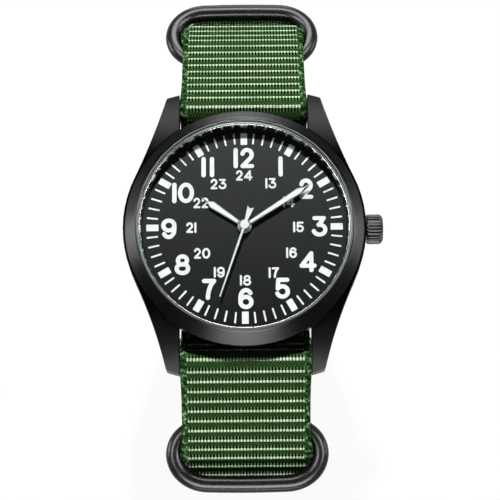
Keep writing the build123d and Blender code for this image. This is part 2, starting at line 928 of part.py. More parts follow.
plate_low_z = plate_top_z - plate_t
centre_z = plate_low_z - centre_wheel_drop
third_z = plate_low_z - third_wheel_drop
seconds_z = plate_low_z - seconds_wheel_drop
bridge_z = plate_low_z - bridge_gap
bridge_low_z = bridge_z - bridge_t

third_distance = tooth_module * (pinion_teeth + third_teeth) / 2
centre_module = 2 * third_distance / (pinion_teeth + centre_teeth)
intermediate_distance = seconds_module * (pinion_teeth + seconds_teeth) / 2
rotor_distance = tooth_module * (pinion_teeth + intermediate_teeth) / 2
minute_distance = motion_module * (cannon_teeth + minute_teeth) / 2
hour_module = 2 * minute_distance / (pinion_teeth + hour_teeth)
setting_distance = motion_module * (minute_teeth + setting_teeth) / 2

centre_place = (0.0, 0.0)
third_place = stepped(centre_place, third_distance, third_angle)
intermediate_place = stepped(centre_place, intermediate_distance, intermediate_angle)
rotor_place = stepped(intermediate_place, rotor_distance, rotor_angle)
minute_place = stepped(centre_place, minute_distance, minute_angle)
setting_place = stepped(minute_place, setting_distance, setting_angle)
motion_z = plate_top_z + side_play
hour_wheel_z = motion_z + wheel_t + side_play


def arbor(low, high):
    """An arbor with a thin pivot at each end, from the plate to the bridge."""
    shaft = disc(pivot_r, low, high)
    return shaft + disc(arbor_r, bridge_z + side_play, plate_low_z - side_play)


def train_parts():
    """The wheels between the rotor and the centre wheel, below the main plate."""
    pivot_low = bridge_low_z + side_play
    pivot_high = plate_low_z + plate_t / 2
    shaft = arbor(pivot_low, pivot_high)
    third_low = third_z - (pinion_h - wheel_t) / 2
    third_high = third_low + pinion_h
    seconds_low = seconds_z - (pinion_h - wheel_t) / 2
    centre_low = centre_z - (pinion_h - wheel_t) / 2

    rotor_turn = gap_angle(pinion_teeth, rotor_angle + 180)
    rotor = shaft + gear(pinion_teeth, tooth_module, rotor_turn, third_low, third_high)
    rotor_top = plate_low_z - stator_drop + (rotor_h - stator_t) / 2
    rotor += disc(rotor_r, rotor_top - rotor_h, rotor_top)
    intermediate = shaft + gear(intermediate_teeth, tooth_module, rotor_angle, third_z, third_z + wheel_t)
    leaf_turn = gap_angle(pinion_teeth, intermediate_angle + 180)
    intermediate += gear(pinion_teeth, seconds_module, leaf_turn, seconds_low, seconds_low + pinion_h)
    seconds = disc(seconds_arbor_r, pivot_low, second_hand_z)
    seconds += gear(seconds_teeth, seconds_module, intermediate_angle, seconds_z, seconds_z + wheel_t)
    seconds += gear(pinion_teeth, tooth_module, third_angle, third_low, third_high)
    seconds += disc(arbor_r, bridge_z + side_play, third_low)
    third_turn = gap_angle(third_teeth, third_angle + 180)
    third = shaft + gear(third_teeth, tooth_module, third_turn, third_z, third_z + wheel_t)
    third += gear(pinion_teeth, centre_module, third_angle + 180, centre_low, centre_low + pinion_h)
    centre_turn = gap_angle(centre_teeth, third_angle)
    centre = gear(centre_teeth, centre_module, centre_turn, centre_z, centre_z + wheel_t)
    centre += disc(centre_tube_r, centre_z, hour_hand_z)
    centre -= hole(seconds_arbor_r + running, centre_z, hour_hand_z)
    return {
        "rotor": at(rotor_place, rotor),
        "intermediate_wheel": at(intermediate_place, intermediate),
        "seconds_wheel": seconds,
        "third_wheel": at(third_place, third),
        "centre_wheel": centre,
    }


def motion_parts():
    """The wheels between the main plate and the dial, which carry the hour and minute hands."""
    cannon = gear(cannon_teeth, motion_module, minute_angle, motion_z, motion_z + wheel_t)
    cannon += disc(cannon_tube_r, motion_z, minute_hand_z + hand_t)
    cannon -= hole(centre_tube_r + running, motion_z, hour_hand_z + running)
    cannon -= hole(seconds_arbor_r + running, motion_z, minute_hand_z + hand_t)
    minute_turn = gap_angle(minute_teeth, minute_angle + 180)
    minute = gear(minute_teeth, motion_module, minute_turn, motion_z, motion_z + wheel_t)
    pinion_low = motion_z + wheel_t
    minute += gear(pinion_teeth, hour_module, minute_angle + 180, pinion_low, hour_wheel_z + wheel_t)
    minute -= hole(post_r + running, motion_z, hour_wheel_z + wheel_t)
    setting_turn = gap_angle(setting_teeth, setting_angle + 180)
    setting = gear(setting_teeth, motion_module, setting_turn, motion_z, motion_z + wheel_t)
    setting -= hole(post_r + running, motion_z, motion_z + wheel_t)
    hour_turn = gap_angle(hour_teeth, minute_angle)
    hour = gear(hour_teeth, hour_module, hour_turn, hour_wheel_z, hour_wheel_z + wheel_t)
    hour += disc(hour_tube_r, hour_wheel_z, hour_hand_z + hand_t)
    hour -= hole(cannon_tube_r + running, hour_wheel_z, hour_hand_z + hand_t)
    washer_z = hour_wheel_z + wheel_t
    washer = tube(hour_tube_r + washer_width, hour_tube_r + side_play, washer_z, -dial_t - slack)
    return {
        "cannon_pinion": cannon,
        "minute_wheel": at(minute_place, minute),
        "setting_wheel": at(setting_place, setting),
        "hour_wheel": hour,
        "dial_washer": washer,
    }


def main_plate_body():
    """The main plate: a rim under the dial, pillars for the bridge and a pocket for each piece."""
    body = disc(plate_r, plate_low_z, -dial_t)
    body -= disc(plate_r - plate_rim_width, plate_top_z, -dial_t)
    for place in bridge_screw_places:
        body += at(place, disc(pillar_r, bridge_z, plate_low_z))
    for place in core_ends():
        body += at(place, disc(pillar_r, plate_low_z - stator_drop, plate_low_z))
    for place in (minute_place, setting_place):
        body += at(place, disc(post_r, plate_top_z, hour_wheel_z + wheel_t))
    body += at((lever_pivot_x, lever_pivot_y), disc(lever_post_r, lever_low_z(), plate_low_z))
    body -= hole(centre_tube_r + running, plate_low_z, plate_top_z)
    for place in (third_place, intermediate_place, rotor_place):
        body -= at(place, hole(pivot_r + running, plate_low_z, plate_low_z + plate_t / 2 + slack))
    battery_hole_r = battery_r + side_play
    body -= at((battery_x, battery_y), hole(battery_hole_r, plate_low_z, battery_top_z()))
    for place in dial_foot_places():
        body -= at(place, hole(dial_foot_r + slack, plate_low_z, -dial_t))
    half = clutch_r + side_play
    body -= block((stem_inner_x - side_play, -half, plate_low_z), (stem_groove_x - half, half, plate_top_z))
    body -= along_x(hole(stem_r + running, stem_inner_x, plate_r + overrun))
    for place in [*bridge_screw_places, *core_ends()]:
        body -= at(place, disc(screw_r, bridge_low_z, plate_low_z + plate_t / 2))
    return body


def bridge_outline():
    """The hull round the bridge's screws and the pivots that it carries."""
    places = [*bridge_screw_places, rotor_place, intermediate_place, third_place]
    circles = Sketch() + [at(place, Circle(bridge_edge_r)) for place in places]
    return make_hull(circles.edges())


def bridge_body():
    body = Pos(0, 0, bridge_low_z) * extrude(bridge_outline(), bridge_t)
    for place in bridge_screw_places:
        body -= at(place, disc(screw_r, bridge_low_z, bridge_z))
    for place in (centre_place, third_place, intermediate_place, rotor_place):
        body -= at(place, hole(pivot_r + running, bridge_low_z, bridge_z))
    body -= at((battery_x, battery_y), hole(battery_r + side_play, bridge_low_z, bridge_z))
    return body


def screws(places, head_z, reach_z):
    """Cheese-head screws with their slots, standing upside down."""
    group = []
    for place in places:
        one = disc(screw_head_r, head_z - screw_head_t, head_z) + disc(screw_r, head_z, reach_z)
        half = screw_slot / 2
        slot_low = (-screw_head_r, -half, head_z - screw_head_t)
        one -= block(slot_low, (screw_head_r, half, head_z - screw_head_t / 2))
        group.append(at(place, one))
    return Part() + group


def core_ends():
    """Where the coil's core lies on the stator's legs."""
    left = stator_left_x + stator_leg_width / 2
    right = stator_right_x - stator_leg_width / 2
    return [(left, core_y), (right, core_y)]


def motor_parts():
    """Stator, coil core and coil."""
    high = plate_low_z - stator_drop
    low = high - stator_t
    half = stator_bar_width / 2
    low_y, high_y = stator_bar_y - half, stator_bar_y + half
    leg_y = core_y - core_width / 2
    stator = block((stator_left_x, low_y, low), (stator_right_x, high_y, high))
    for x in (stator_left_x, stator_right_x - stator_leg_width):
        stator += block((x, high_y, low), (x + stator_leg_width, leg_y, high))
    stator += at(rotor_place, disc(stator_eye_r, low, high))
    stator -= at(rotor_place, hole(stator_hole_r, low, high))
    core = block((stator_left_x, leg_y, low), (stator_right_x, leg_y + core_width, high))
    for place in core_ends():
        core -= at(place, disc(screw_r, low, high))
    middle_x = (stator_left_x + stator_right_x) / 2
    middle = Pos(middle_x, core_y, (low + high) / 2)
    coil = Box(coil_length, coil_width, coil_h)
    for side in (1, -1):
        x = side * (coil_length - coil_flange) / 2
        coil += Pos(x, 0, 0) * Box(coil_flange, coil_width + coil_flange_rise, coil_h + coil_flange_rise)
    coil -= Box(coil_length, core_width, stator_t)
    return {"stator": stator, "coil_core": core, "coil": middle * coil}


def battery_top_z():
    return bridge_low_z + battery_h


def power_parts():
    """Battery, its clamp, and the circuit with its chip and quartz can."""
    top = battery_top_z()
    step_r = battery_r - battery_step
    battery = disc(battery_r, bridge_low_z, top - battery_step)
    battery += disc(step_r, top - battery_step, top - slack)
    place = (battery_x, battery_y)
    screw = bridge_screw_places[0]
    run = (place[0] - screw[0], place[1] - screw[1])
    angle = math.degrees(math.atan2(run[1], run[0]))
    length = math.hypot(*run)
    low = bridge_low_z - clamp_t
    strip = Pos(length / 2, 0, low) * extrude(SlotCenterToCenter(length, clamp_width), clamp_t)
    strip -= disc(screw_r, low, bridge_low_z)
    clamp = Pos(screw[0], screw[1], 0) * Rot(0, 0, angle) * strip

    board_z = plate_low_z - board_drop
    board = block((board_left_x, board_low_y, board_z - board_t), (board_right_x, board_high_y, board_z))
    board &= disc(board_circle_r, board_z - board_t, board_z)
    chip_low = (chip_x - chip_width / 2, chip_y - chip_width / 2, board_z - board_t - chip_t)
    chip_high = (chip_x + chip_width / 2, chip_y + chip_width / 2, board_z - board_t)
    chip = block(chip_low, chip_high)
    can = Rot(90, 0, 0) * disc(can_r, -can_length / 2, can_length / 2)
    can = Pos(can_x, 0, board_z + can_r) * can
    return {
        "battery": at(place, battery),
        "battery_clamp": clamp,
        "circuit_board": board,
        "circuit_chip": chip,
        "quartz_can": can,
    }


def lever_low_z():
    """The underside of the setting lever, just below the stem."""
    return stem_z - stem_r - side_play - lever_t


def lever_body():
    """The setting lever: a plate on its post, with a pin that stands in the stem's groove."""
    low = lever_low_z()
    high = low + lever_t
    pin_top = stem_z - stem_groove_r - side_play / 2
    span = lever_pivot_y + lever_tail
    plate = Pos(0, -lever_pivot_y + span / 2, low) * Rot(0, 0, 90) * slot_plate(span)
    plate -= hole(lever_post_r + running, low, high)
    plate += Pos(0, -lever_pivot_y, 0) * disc(lever_pin_r, low, pin_top)
    return Pos(lever_pivot_x, lever_pivot_y, 0) * plate


def slot_plate(span):
    return extrude(SlotCenterToCenter(span, lever_width + 2 * lever_post_r), lever_t)


def movement_ring_body():
    """The moulded ring that centres the movement in the case and presses on the back."""
    inner_r = plate_r + slack
    top = -dial_t
    flange_low = top - ring_flange_t
    back_z = -back_depth + back_plate_t
    wall_r = bore_r - slack - back_wall_t - slack
    wall_inner = wall_r - ring_wall_t
    body = tube(dial_r, inner_r, flange_low, top)
    body += tube(wall_r, wall_inner, back_z, flange_low)
    rib_low = (inner_r + slack, -ring_wall_t / 2, plate_low_z)
    rib = block(rib_low, (wall_inner + slack, ring_wall_t / 2, flange_low))
    for n in range(ring_ribs):
        body += Rot(0, 0, 360 * (n + 1 / 2) / ring_ribs) * rib
    body -= along_x(hole(tube_r + side_play, inner_r - overrun, case_r))
    return body


# Hands, drawn pointing at 12 o'clock and turned to the time


def leaf_hand(length, neck, belly, boss_r, pipe_r, low):
    """A hand that widens from a narrow neck to a shoulder and ends in a needle point."""
    high = low + hand_t
    half = (
        (neck / 2, 0),
        (neck / 2, boss_r),
        (belly / 2, length * hand_belly_share),
        (hand_needle, length * hand_shoulder_share),
        (hand_point / 2, length),
    )
    points = list(half) + [(-x, y) for x, y in reversed(half)]
    body = Pos(0, 0, low) * extrude(make_face(Polyline(*points, close=True)), high - low)
    body += disc(boss_r, low, high)
    return body - disc(pipe_r, low, high)


def seconds_hand():
    """The thin seconds hand with its flared tail and raised boss."""
    low, high = second_hand_z, second_hand_z + hand_t
    base, tip = second_hand_base / 2, second_hand_tip / 2
    tail_base, tail_end = second_tail_base / 2, second_tail_end / 2
    edges = [
        Line((base, 0), (tip, second_hand_length)),
        Line((tip, second_hand_length), (-tip, second_hand_length)),
        Line((-tip, second_hand_length), (-base, 0)),
        Line((-base, 0), (-tail_base, -second_boss_r)),
        Line((-tail_base, -second_boss_r), (-tail_end, -second_tail_length)),
        ThreePointArc(
            (-tail_end, -second_tail_length),
            (0, -second_tail_length + second_tail_hollow),
            (tail_end, -second_tail_length),
        ),
        Line((tail_end, -second_tail_length), (tail_base, -second_boss_r)),
        Line((tail_base, -second_boss_r), (base, 0)),
    ]
    body = Pos(0, 0, low) * extrude(make_face(Wire(edges)), hand_t)
    body += disc(second_boss_r, low, high + boss_rise)
    return body


def hand_parts():
    """The three hands at the time that the watch shows."""
    hour = leaf_hand(hour_hand_length, hour_hand_neck, hour_hand_belly, hour_boss_r, hour_tube_r, hour_hand_z)
    minute = leaf_hand(
        minute_hand_length, minute_hand_neck, minute_hand_belly, minute_boss_r, cannon_tube_r, minute_hand_z
    )
    return {
        "hour_hand": Rot(0, 0, hour_hand_turn) * hour,
        "minute_hand": Rot(0, 0, minute_hand_turn) * minute,
        "second_hand": Rot(0, 0, second_hand_turn) * seconds_hand(),
    }


def head_parts():
    """The case and all that is fixed in it."""
    gasket_top = rehaut_top_z + crystal_gasket_h
    rim = -case_depth
    groove_r = back_gasket_inner_r + back_gasket_width
    shapes = {
        "case": case_body(),
        "bezel": bezel_body(),
        "crystal": crystal_body(),
        "crystal_gasket": tube(crystal_r + crystal_gasket_t, crystal_r, rehaut_top_z, gasket_top),
        "rehaut": rehaut_body(),
        "dial": dial_body(),
        "case_back": back_body(),
        "case_back_gasket": tube(groove_r, back_gasket_inner_r, rim - back_gasket_t, rim),
        "movement_ring": movement_ring_body(),
        "main_plate": main_plate_body(),
        "train_bridge": bridge_body(),
        "bridge_screws": screws(bridge_screw_places[1:], bridge_low_z, plate_low_z),
        "clamp_screw": screws(bridge_screw_places[:1], bridge_low_z - clamp_t, plate_low_z),
        "stator_screws": screws(core_ends(), plate_low_z - stator_drop - stator_t, plate_low_z),
        "setting_lever": lever_body(),
        "clutch_wheel": clutch_body(),
    }
    for name, y in (("12", bar_y), ("6", -bar_y)):
        barrel, left, right, spring = spring_bar(y)
        shapes[f"spring_bar_{name}"] = barrel
        shapes[f"plunger_{name}_left"] = left
        shapes[f"plunger_{name}_right"] = right
        shapes[f"bar_spring_{name}"] = spring
    return shapes


def all_parts():
    groups = (
        head_parts(),
        crown_parts(),
        train_parts(),
        motion_parts(),
        motor_parts(),
        power_parts(),
        hand_parts(),
        strap_parts(),
    )
    return {name: shape for group in groups for name, shape in group.items()}


os.makedirs("parts", exist_ok=True)
for name, shape in all_parts().items():
    export_step(Pos(0, 0, lift) * shape, f"parts/{name}.step")
print("dial top is at Z", round(lift, 3))
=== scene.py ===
from math import asin, atan2, copysign, cos, degrees, hypot, pi, radians, sin, sqrt

import bmesh
import bpy
from mathutils import Matrix, Vector


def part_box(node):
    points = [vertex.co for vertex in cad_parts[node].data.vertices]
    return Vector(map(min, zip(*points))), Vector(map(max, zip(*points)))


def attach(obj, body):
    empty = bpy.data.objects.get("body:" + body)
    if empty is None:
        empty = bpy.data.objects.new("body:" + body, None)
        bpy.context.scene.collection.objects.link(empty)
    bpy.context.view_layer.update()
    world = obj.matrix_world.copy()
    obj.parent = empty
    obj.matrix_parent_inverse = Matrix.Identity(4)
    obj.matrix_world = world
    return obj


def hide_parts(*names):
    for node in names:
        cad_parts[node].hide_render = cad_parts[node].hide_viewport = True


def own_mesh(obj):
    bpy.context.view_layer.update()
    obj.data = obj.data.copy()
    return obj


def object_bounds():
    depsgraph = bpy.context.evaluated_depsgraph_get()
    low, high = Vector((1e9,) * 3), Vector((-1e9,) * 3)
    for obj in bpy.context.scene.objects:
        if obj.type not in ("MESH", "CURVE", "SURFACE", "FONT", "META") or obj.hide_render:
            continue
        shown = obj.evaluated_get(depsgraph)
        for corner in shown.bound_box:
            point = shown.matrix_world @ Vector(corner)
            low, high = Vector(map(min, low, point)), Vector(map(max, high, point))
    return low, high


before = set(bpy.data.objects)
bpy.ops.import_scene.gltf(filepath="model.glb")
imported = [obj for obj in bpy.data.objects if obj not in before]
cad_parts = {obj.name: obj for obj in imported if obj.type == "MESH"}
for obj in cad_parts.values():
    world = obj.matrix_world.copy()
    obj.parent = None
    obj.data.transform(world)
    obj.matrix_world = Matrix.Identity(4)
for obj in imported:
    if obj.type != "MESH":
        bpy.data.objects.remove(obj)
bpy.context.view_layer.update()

# The looks of the field watch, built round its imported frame.
# Shapes are given in millimetres and become metres in the mesh. Heights of the watch head are
# measured from the dial's top face, and those of the strap too: `lift` brings both to the row frame.

MM = 0.001
lift = 8.7

# Camera: where it stands from the dial's centre, what it looks at, its lens and its roll
camera_place = (0.0, -65.0, 252.0)
camera_aim = (0.87, -3.93, 0.0)
camera_lens = 112.3
camera_sensor = 36.0
camera_roll = 0.3
camera_near_m = 0.01
camera_far_m = 20.0

# Meshes: how near points are merged, in metres, which edges of the CAD meshes are flat or sharp, in degrees,
# and how far a corner may be rounded or moved
merge_m = 1e-8
cad_merge_m = 1e-7
cad_edge_angles = (1.0, 25.0)
corner_reach_share = 0.45
parallel_slack = 1e-6
corner_least_share = 0.5

# Case, bezel and crystal
bezel_outer_r = 19.6
bezel_top_r = 18.3
bezel_top_z = 3.2
bezel_seat_z = 0.9
bezel_foot_z = 0.2
bezel_spigot_r = 18.2
bezel_skirt_r = 20.28
bezel_skirt_z = 0.31
crystal_r = 17.7
crystal_low_z = 2.0
crystal_t = 1.6
crystal_chamfer = 0.35
crystal_low_chamfer = 0.17
gasket_r = 17.95
rehaut_bottom_r = 16.95
rehaut_top_r = 17.35
rehaut_outer_r = 17.5
rehaut_inner_gap = 0.05
turned_steps = 192
edge_round = 0.1
bezel_edge_round = 0.4
case_edge_round = 0.16
shoulder_y = 12.0
# Where the painted reflection on the lugs is full, from the centre along Y; it starts at shoulder_y
lug_painted_light_y = 22.0

# Crown: each station has a distance from the foot, a share of the radius and one of the flutes' depth
crown_r = 2.5
crown_low_x = 20.45
crown_flutes = 26
crown_flute_depth = 0.26
crown_flute_steps = 8
crown_shape = (
    (0.0, 0.86, 0.0), (0.0, 0.93, 0.2), (0.1, 0.97, 0.7), (0.25, 1.0, 1.0), (2.1, 1.0, 1.0),
    (2.28, 0.98, 0.8), (2.5, 0.9, 0.35), (2.64, 0.83, 0.05), (2.7, 0.78, 0.0), (2.7, 0.55, 0.0),
    (2.7, 0.2, 0.0), (2.7, 0.0, 0.0),
)
stem_z = -2.2

# Dial printing: each number has a radius from the centre, and its own shift right and up
dial_r = 17.45
print_h = 0.03
mark_corner = 0.12
track_outer_r = 16.4
block_length = 2.05
block_width = 1.12
tick_length = 1.9
tick_width = 0.3
number_places = {
    1: (11.95, 0.17, 0.17), 2: (12.08, -0.08, 0.55), 3: (12.47, 0.08, 0.04), 4: (12.0, 0.08, 0.0),
    5: (12.2, 0.08, 0.09), 6: (12.2, 0.12, 0.04), 7: (12.1, 0.12, -0.09), 8: (12.16, 0.17, -0.26),
    9: (12.6, -0.04, -0.17), 10: (11.8, -0.04, 0.13), 11: (11.97, -0.12, 0.13), 12: (11.7, -0.04, 0.34),
    13: (8.64, 0.17, 0.09), 14: (8.61, 0.0, 0.0), 15: (8.88, 0.12, -0.04), 16: (8.88, 0.08, 0.0),
    17: (9.08, 0.25, 0.04), 18: (9.12, 0.08, 0.04), 19: (8.75, 0.12, -0.09), 20: (8.34, 0.12, -0.26),
    21: (8.9, 0.0, 0.0), 22: (8.31, -0.08, 0.09), 23: (8.53, -0.04, 0.13), 24: (8.78, 0.0, 0.21),
}
stroke_step = 0.004
stroke_sides = 7
stroke_end_shares = (0.38, 0.7, 0.92, 1.0)
stroke_shoulder = 2.2
stroke_least_shares = (0.02, 0.05)
digit_widths = {
    "0": 2.72, "2": 2.36, "3": 2.66, "4": 2.86, "5": 2.5, "6": 2.52, "7": 2.4, "8": 2.62, "9": 2.56,
}
pair_gaps = {"10": 0.2, "11": 0.66, "12": 0.36}
hour_digit = {"height": 3.58, "scale": 1.0, "stroke": 0.73, "bar": 0.76, "gap": 0.3}
day_digit = {"height": 1.84, "scale": 0.51, "stroke": 0.37, "bar": 0.36, "gap": 0.17}

# Hands
hand_t = 0.16
hour_hand = {
    "length": 8.7, "neck": 0.6, "belly": 1.25, "boss_r": 1.15, "z": 0.6, "turn": -304.8, "belly_share": 0.76,
    "shoulder_share": 0.865,
}
minute_hand = {
    "length": 12.9, "neck": 0.55, "belly": 1.1, "boss_r": 0.9, "z": 1.05, "turn": -57.3, "belly_share": 0.85,
    "shoulder_share": 0.925,
}
second_hand_length = 12.8
second_tail_length = 3.3
second_hand_z = 1.5
second_hand_turn = -198.9
second_boss_r = 0.72
hand_frame_width = 0.15
hand_needle = 0.26
hand_point = 0.1
hand_chamfer = 0.05
hand_foot_share = 0.7
lume = {
    "sunk": 0.06, "proud": 0.025, "chamfer": 0.02, "neck_share": 0.7, "foot_gap": 0.25, "belly_gap": 0.05,
    "tip_gap": 0.12,
}
needle_root = 0.2
needle_tip = 0.1
second_chamfer = 0.03
second_tail_flare = 0.55
second_tail_waist = 0.24
second_tail_hollow = 0.3
second_boss_rise = 0.14
second_boss_chamfer = 0.06
second_pin_r = 0.22
second_pin_rise = 0.24

# Webbing
strap_width = 21.5
strap_t = 1.3
under_t = 1.2
layer_gap = 0.1
rib_pitch = 1.75
rib_depth = 0.24
rib_crest_share = 0.82
rib_shares = (0.0, 0.16, 0.34, 0.52, 0.68, 0.82, 0.92)
yarn_pitch = 0.55
twill_pitch = 0.62
twill_width = 0.5
selvedge = 1.0
selvedge_from = (strap_width / 2 - selvedge - 0.15, strap_width / 2 - selvedge + 0.1)
width_steps = 20
edge_steps = 3
bar_y = 22.1
bar_z = -4.4
bar_r = 0.75
slack = 0.05
back_depth = 6.0
strap_slope = 30.0
ring_bend = 11.0
ring_12_reach = 39.5
ring_6_reach = 36.5
shoulder_r = 4.0
strap_tuck = 18.0
sole_r = 24.0
loop_drop = 44.5
under_flat_y = 14.0
under_bend_r = 12.0
fold_dip = 50.0
fold_return = 5.0
pocket_pitch = 12.0
tail_past_keeper = 6.0
buckle_y = -10.0
front_pinch = (8.5, 2.4, 10.0)
ring_snug = (4.7, 11.25, 4.2, 3.4)
fold_pinch = (8.6, 4.4, 4.4)
pinch_power = 0.9
lug_snug = (23.0, 11.0, 11.0, 9.0)
strap_end_r = 3.0
track_slack = 1e-9
curl_share = 0.3
curl_from_share = 0.7

# Rings, keepers and buckle
ring_width = 27.6
ring_height = 12.6
ring_wire_r = 1.35
ring_shown_r = 1.43
ring_bow = 0.35
ring_corner = (5.8, 4.95)
ring_squareness = 2.12
ring_12_shift = -0.22
ring_6_shift = 0.15
ring_sides = 24
ring_corner_steps = 14
ring_seat_gap = 0.15
prong_half_width = 1.1
prong_notch_depth = 0.75
prong_bed_reach = 0.1
ring_bar_shares = (0.2, 0.4, 0.46, 0.54, 0.6, 0.8)
prong_edge_round = 0.3

# Inside: the coil's winding and the springs of the spring bars
coil_turns = 44
coil_flange = 0.4
coil_end_gap = 0.5
coil_corner = 0.35
coil_flange_corner = 0.3
coil_swell_share = 0.07
coil_width_share = 0.9
coil_height_share = 0.88
spring_wire_r = 0.06
spring_turns = 24
spring_steps = 14
spring_sides = 6

# Floor and surrounding
floor_gap = 0.6
floor_half_m = 3.0
floor_white_share = 0.93
world_light = 0.05
sky_heights = (0.35, 0.9)
sky_lights = (1.0, 0.3)
plain_rays = ("Is Camera Ray", "Is Glossy Ray", "Is Transmission Ray")

# Lights: azimuth clockwise from the 12 side, elevation, distance, width and height, and glow. The key and
# the fills light what is matt; the cards are only mirrored in what shines
lights = {
    "key": (0.0, 54.5, 0.55, (0.036, 0.03), 1210.0),
    "fill_front": (180.0, 3.0, 0.5, (0.3, 0.08), 30.0),
    "fill_left": (278.0, 30.0, 0.55, (0.3, 0.14), 1.0),
    "fill_right": (82.0, 30.0, 0.55, (0.3, 0.14), 1.0),
    "card_back": (0.0, 42.0, 0.19, (0.16, 0.08), 32.0),
    "card_back_low": (0.0, 3.0, 0.4, (0.2, 0.08), 10.0),
    "card_front": (180.0, 40.0, 0.19, (0.16, 0.08), 38.0),
    "card_front_low": (180.0, 3.0, 0.4, (0.28, 0.08), 12.0),
    "card_left": (270.0, 56.0, 0.45, (0.3, 0.15), 32.0),
    "card_right": (90.0, 50.0, 0.45, (0.3, 0.15), 32.0),
    "card_left_low": (275.0, 3.0, 0.4, (0.16, 0.08), 34.0),
    "card_right_low": (85.0, 3.0, 0.4, (0.16, 0.08), 17.0),
}

# How deep the grain of a look is
coat_grain = 0.004
smooth_coat_grain = 0.001
turned_grain = 0.006
dial_grain = 0.004
weave_relief = 0.14

# Plain looks: material, two colours, roughness, grains to the metre, the grain's depth and how it shines
plain_looks = {
    "crystal_side": ("crystal_side_ground", (20, 28, 26), (32, 42, 40), 0.3, 9000.0, 0.003, 0.5),
    # The lower chamfer's pale colour is a painted highlight on ground glass
    "crystal_edge_highlight": ("crystal_ground_highlight", (114, 130, 124), (142, 158, 151), 0.3, 9000.0, 0.003, 0.5),
    "print": ("dial_print_paint", (248, 246, 246), (254, 252, 252), 0.5, 9000.0, 0.008, 0.04),
    "hand": ("hand_silver", (134, 136, 136), (160, 162, 162), 0.3, 6000.0, 0.003, 0.5),
    "lume": ("hand_lume", (246, 245, 244), (252, 251, 250), 0.6, 7000.0, 0.012, 0.04),
    "white": ("seconds_paint", (228, 230, 228), (244, 245, 243), 0.35, 9000.0, 0.003, 0.1),
    "rubber": ("seal_rubber", (20, 20, 20), (30, 30, 30), 0.7, 5000.0, 0.01, 0.5),
    "plastic": ("ring_plastic", (206, 204, 196), (222, 220, 212), 0.5, 4000.0, 0.01, 0.5),
    "board": ("board_mask", (18, 70, 40), (30, 92, 54), 0.3, 3000.0, 0.004, 0.5),
    "chip": ("chip_resin", (16, 16, 17), (28, 28, 30), 0.45, 7000.0, 0.01, 0.5),
}

# Turned looks: material, two colours, roughness and how the streaks are stretched
turned_looks = {
    "crown": ("crown_gunmetal", (26, 26, 27), (46, 46, 48), 0.3, (8.0, 1.0, 1.0)),
    "brass": ("movement_brass", (196, 160, 96), (222, 188, 124), 0.28, (1.0, 6.0, 1.0)),
    "steel": ("movement_steel", (160, 162, 164), (200, 202, 204), 0.25, (6.0, 1.0, 1.0)),
    "copper": ("coil_copper", (150, 82, 48), (196, 118, 72), 0.35, (12.0, 1.0, 1.0)),
}


# Node materials


def srgb(red, green, blue):
    """A linear colour from its 0 to 255 screen values."""
    def linear(value):
        share = value / 255
        return share / 12.92 if share <= 0.04045 else ((share + 0.055) / 1.055) ** 2.4
    return linear(red), linear(green), linear(blue), 1.0


class Nodes:
    """A node tree and the calls that fill it."""

    def __init__(self, tree):
        self.tree = tree

    def feed(self, socket, value):
        """Links a socket to another one, or gives it a fixed value."""
        if isinstance(value, bpy.types.NodeSocket):
            self.tree.links.new(value, socket)
        else:
            socket.default_value = value

    def node(self, kind, **settings):
        made = self.tree.nodes.new("ShaderNode" + kind)
        for key, value in settings.items():
            setattr(made, key, value)
        return made

    def fed(self, kind, values, **settings):
        """A node with values for some of its inputs, and its first output."""
        made = self.node(kind, **settings)
        for key, value in values.items():
            self.feed(made.inputs[key], value)
        return made.outputs[0]

    def calc(self, operation, *values):
        return self.fed("Math", dict(enumerate(values)), operation=operation)

    def times(self, *values):
        return self.calc("MULTIPLY", *values)

    def plus(self, *values):
        return self.calc("ADD", *values)

    def seen_by(self, *rays):
        """One for rays of any of these kinds, and nought for the others."""
        path = self.node("LightPath")
        made = path.outputs[rays[0]]
        for ray in rays[1:]:
            made = self.calc("MAXIMUM", made, path.outputs[ray])
        return made

    def mixed(self, share, first, second):
        """A mix of two shaders."""
        return self.fed("MixShader", {0: share, 1: first, 2: second})

    def place(self, source="Object"):
        """The X, Y and Z of a spot, in metres on the piece's own coordinates."""
        split = self.node("SeparateXYZ")
        self.feed(split.inputs[0], self.node("TexCoord").outputs[source])
        return split.outputs


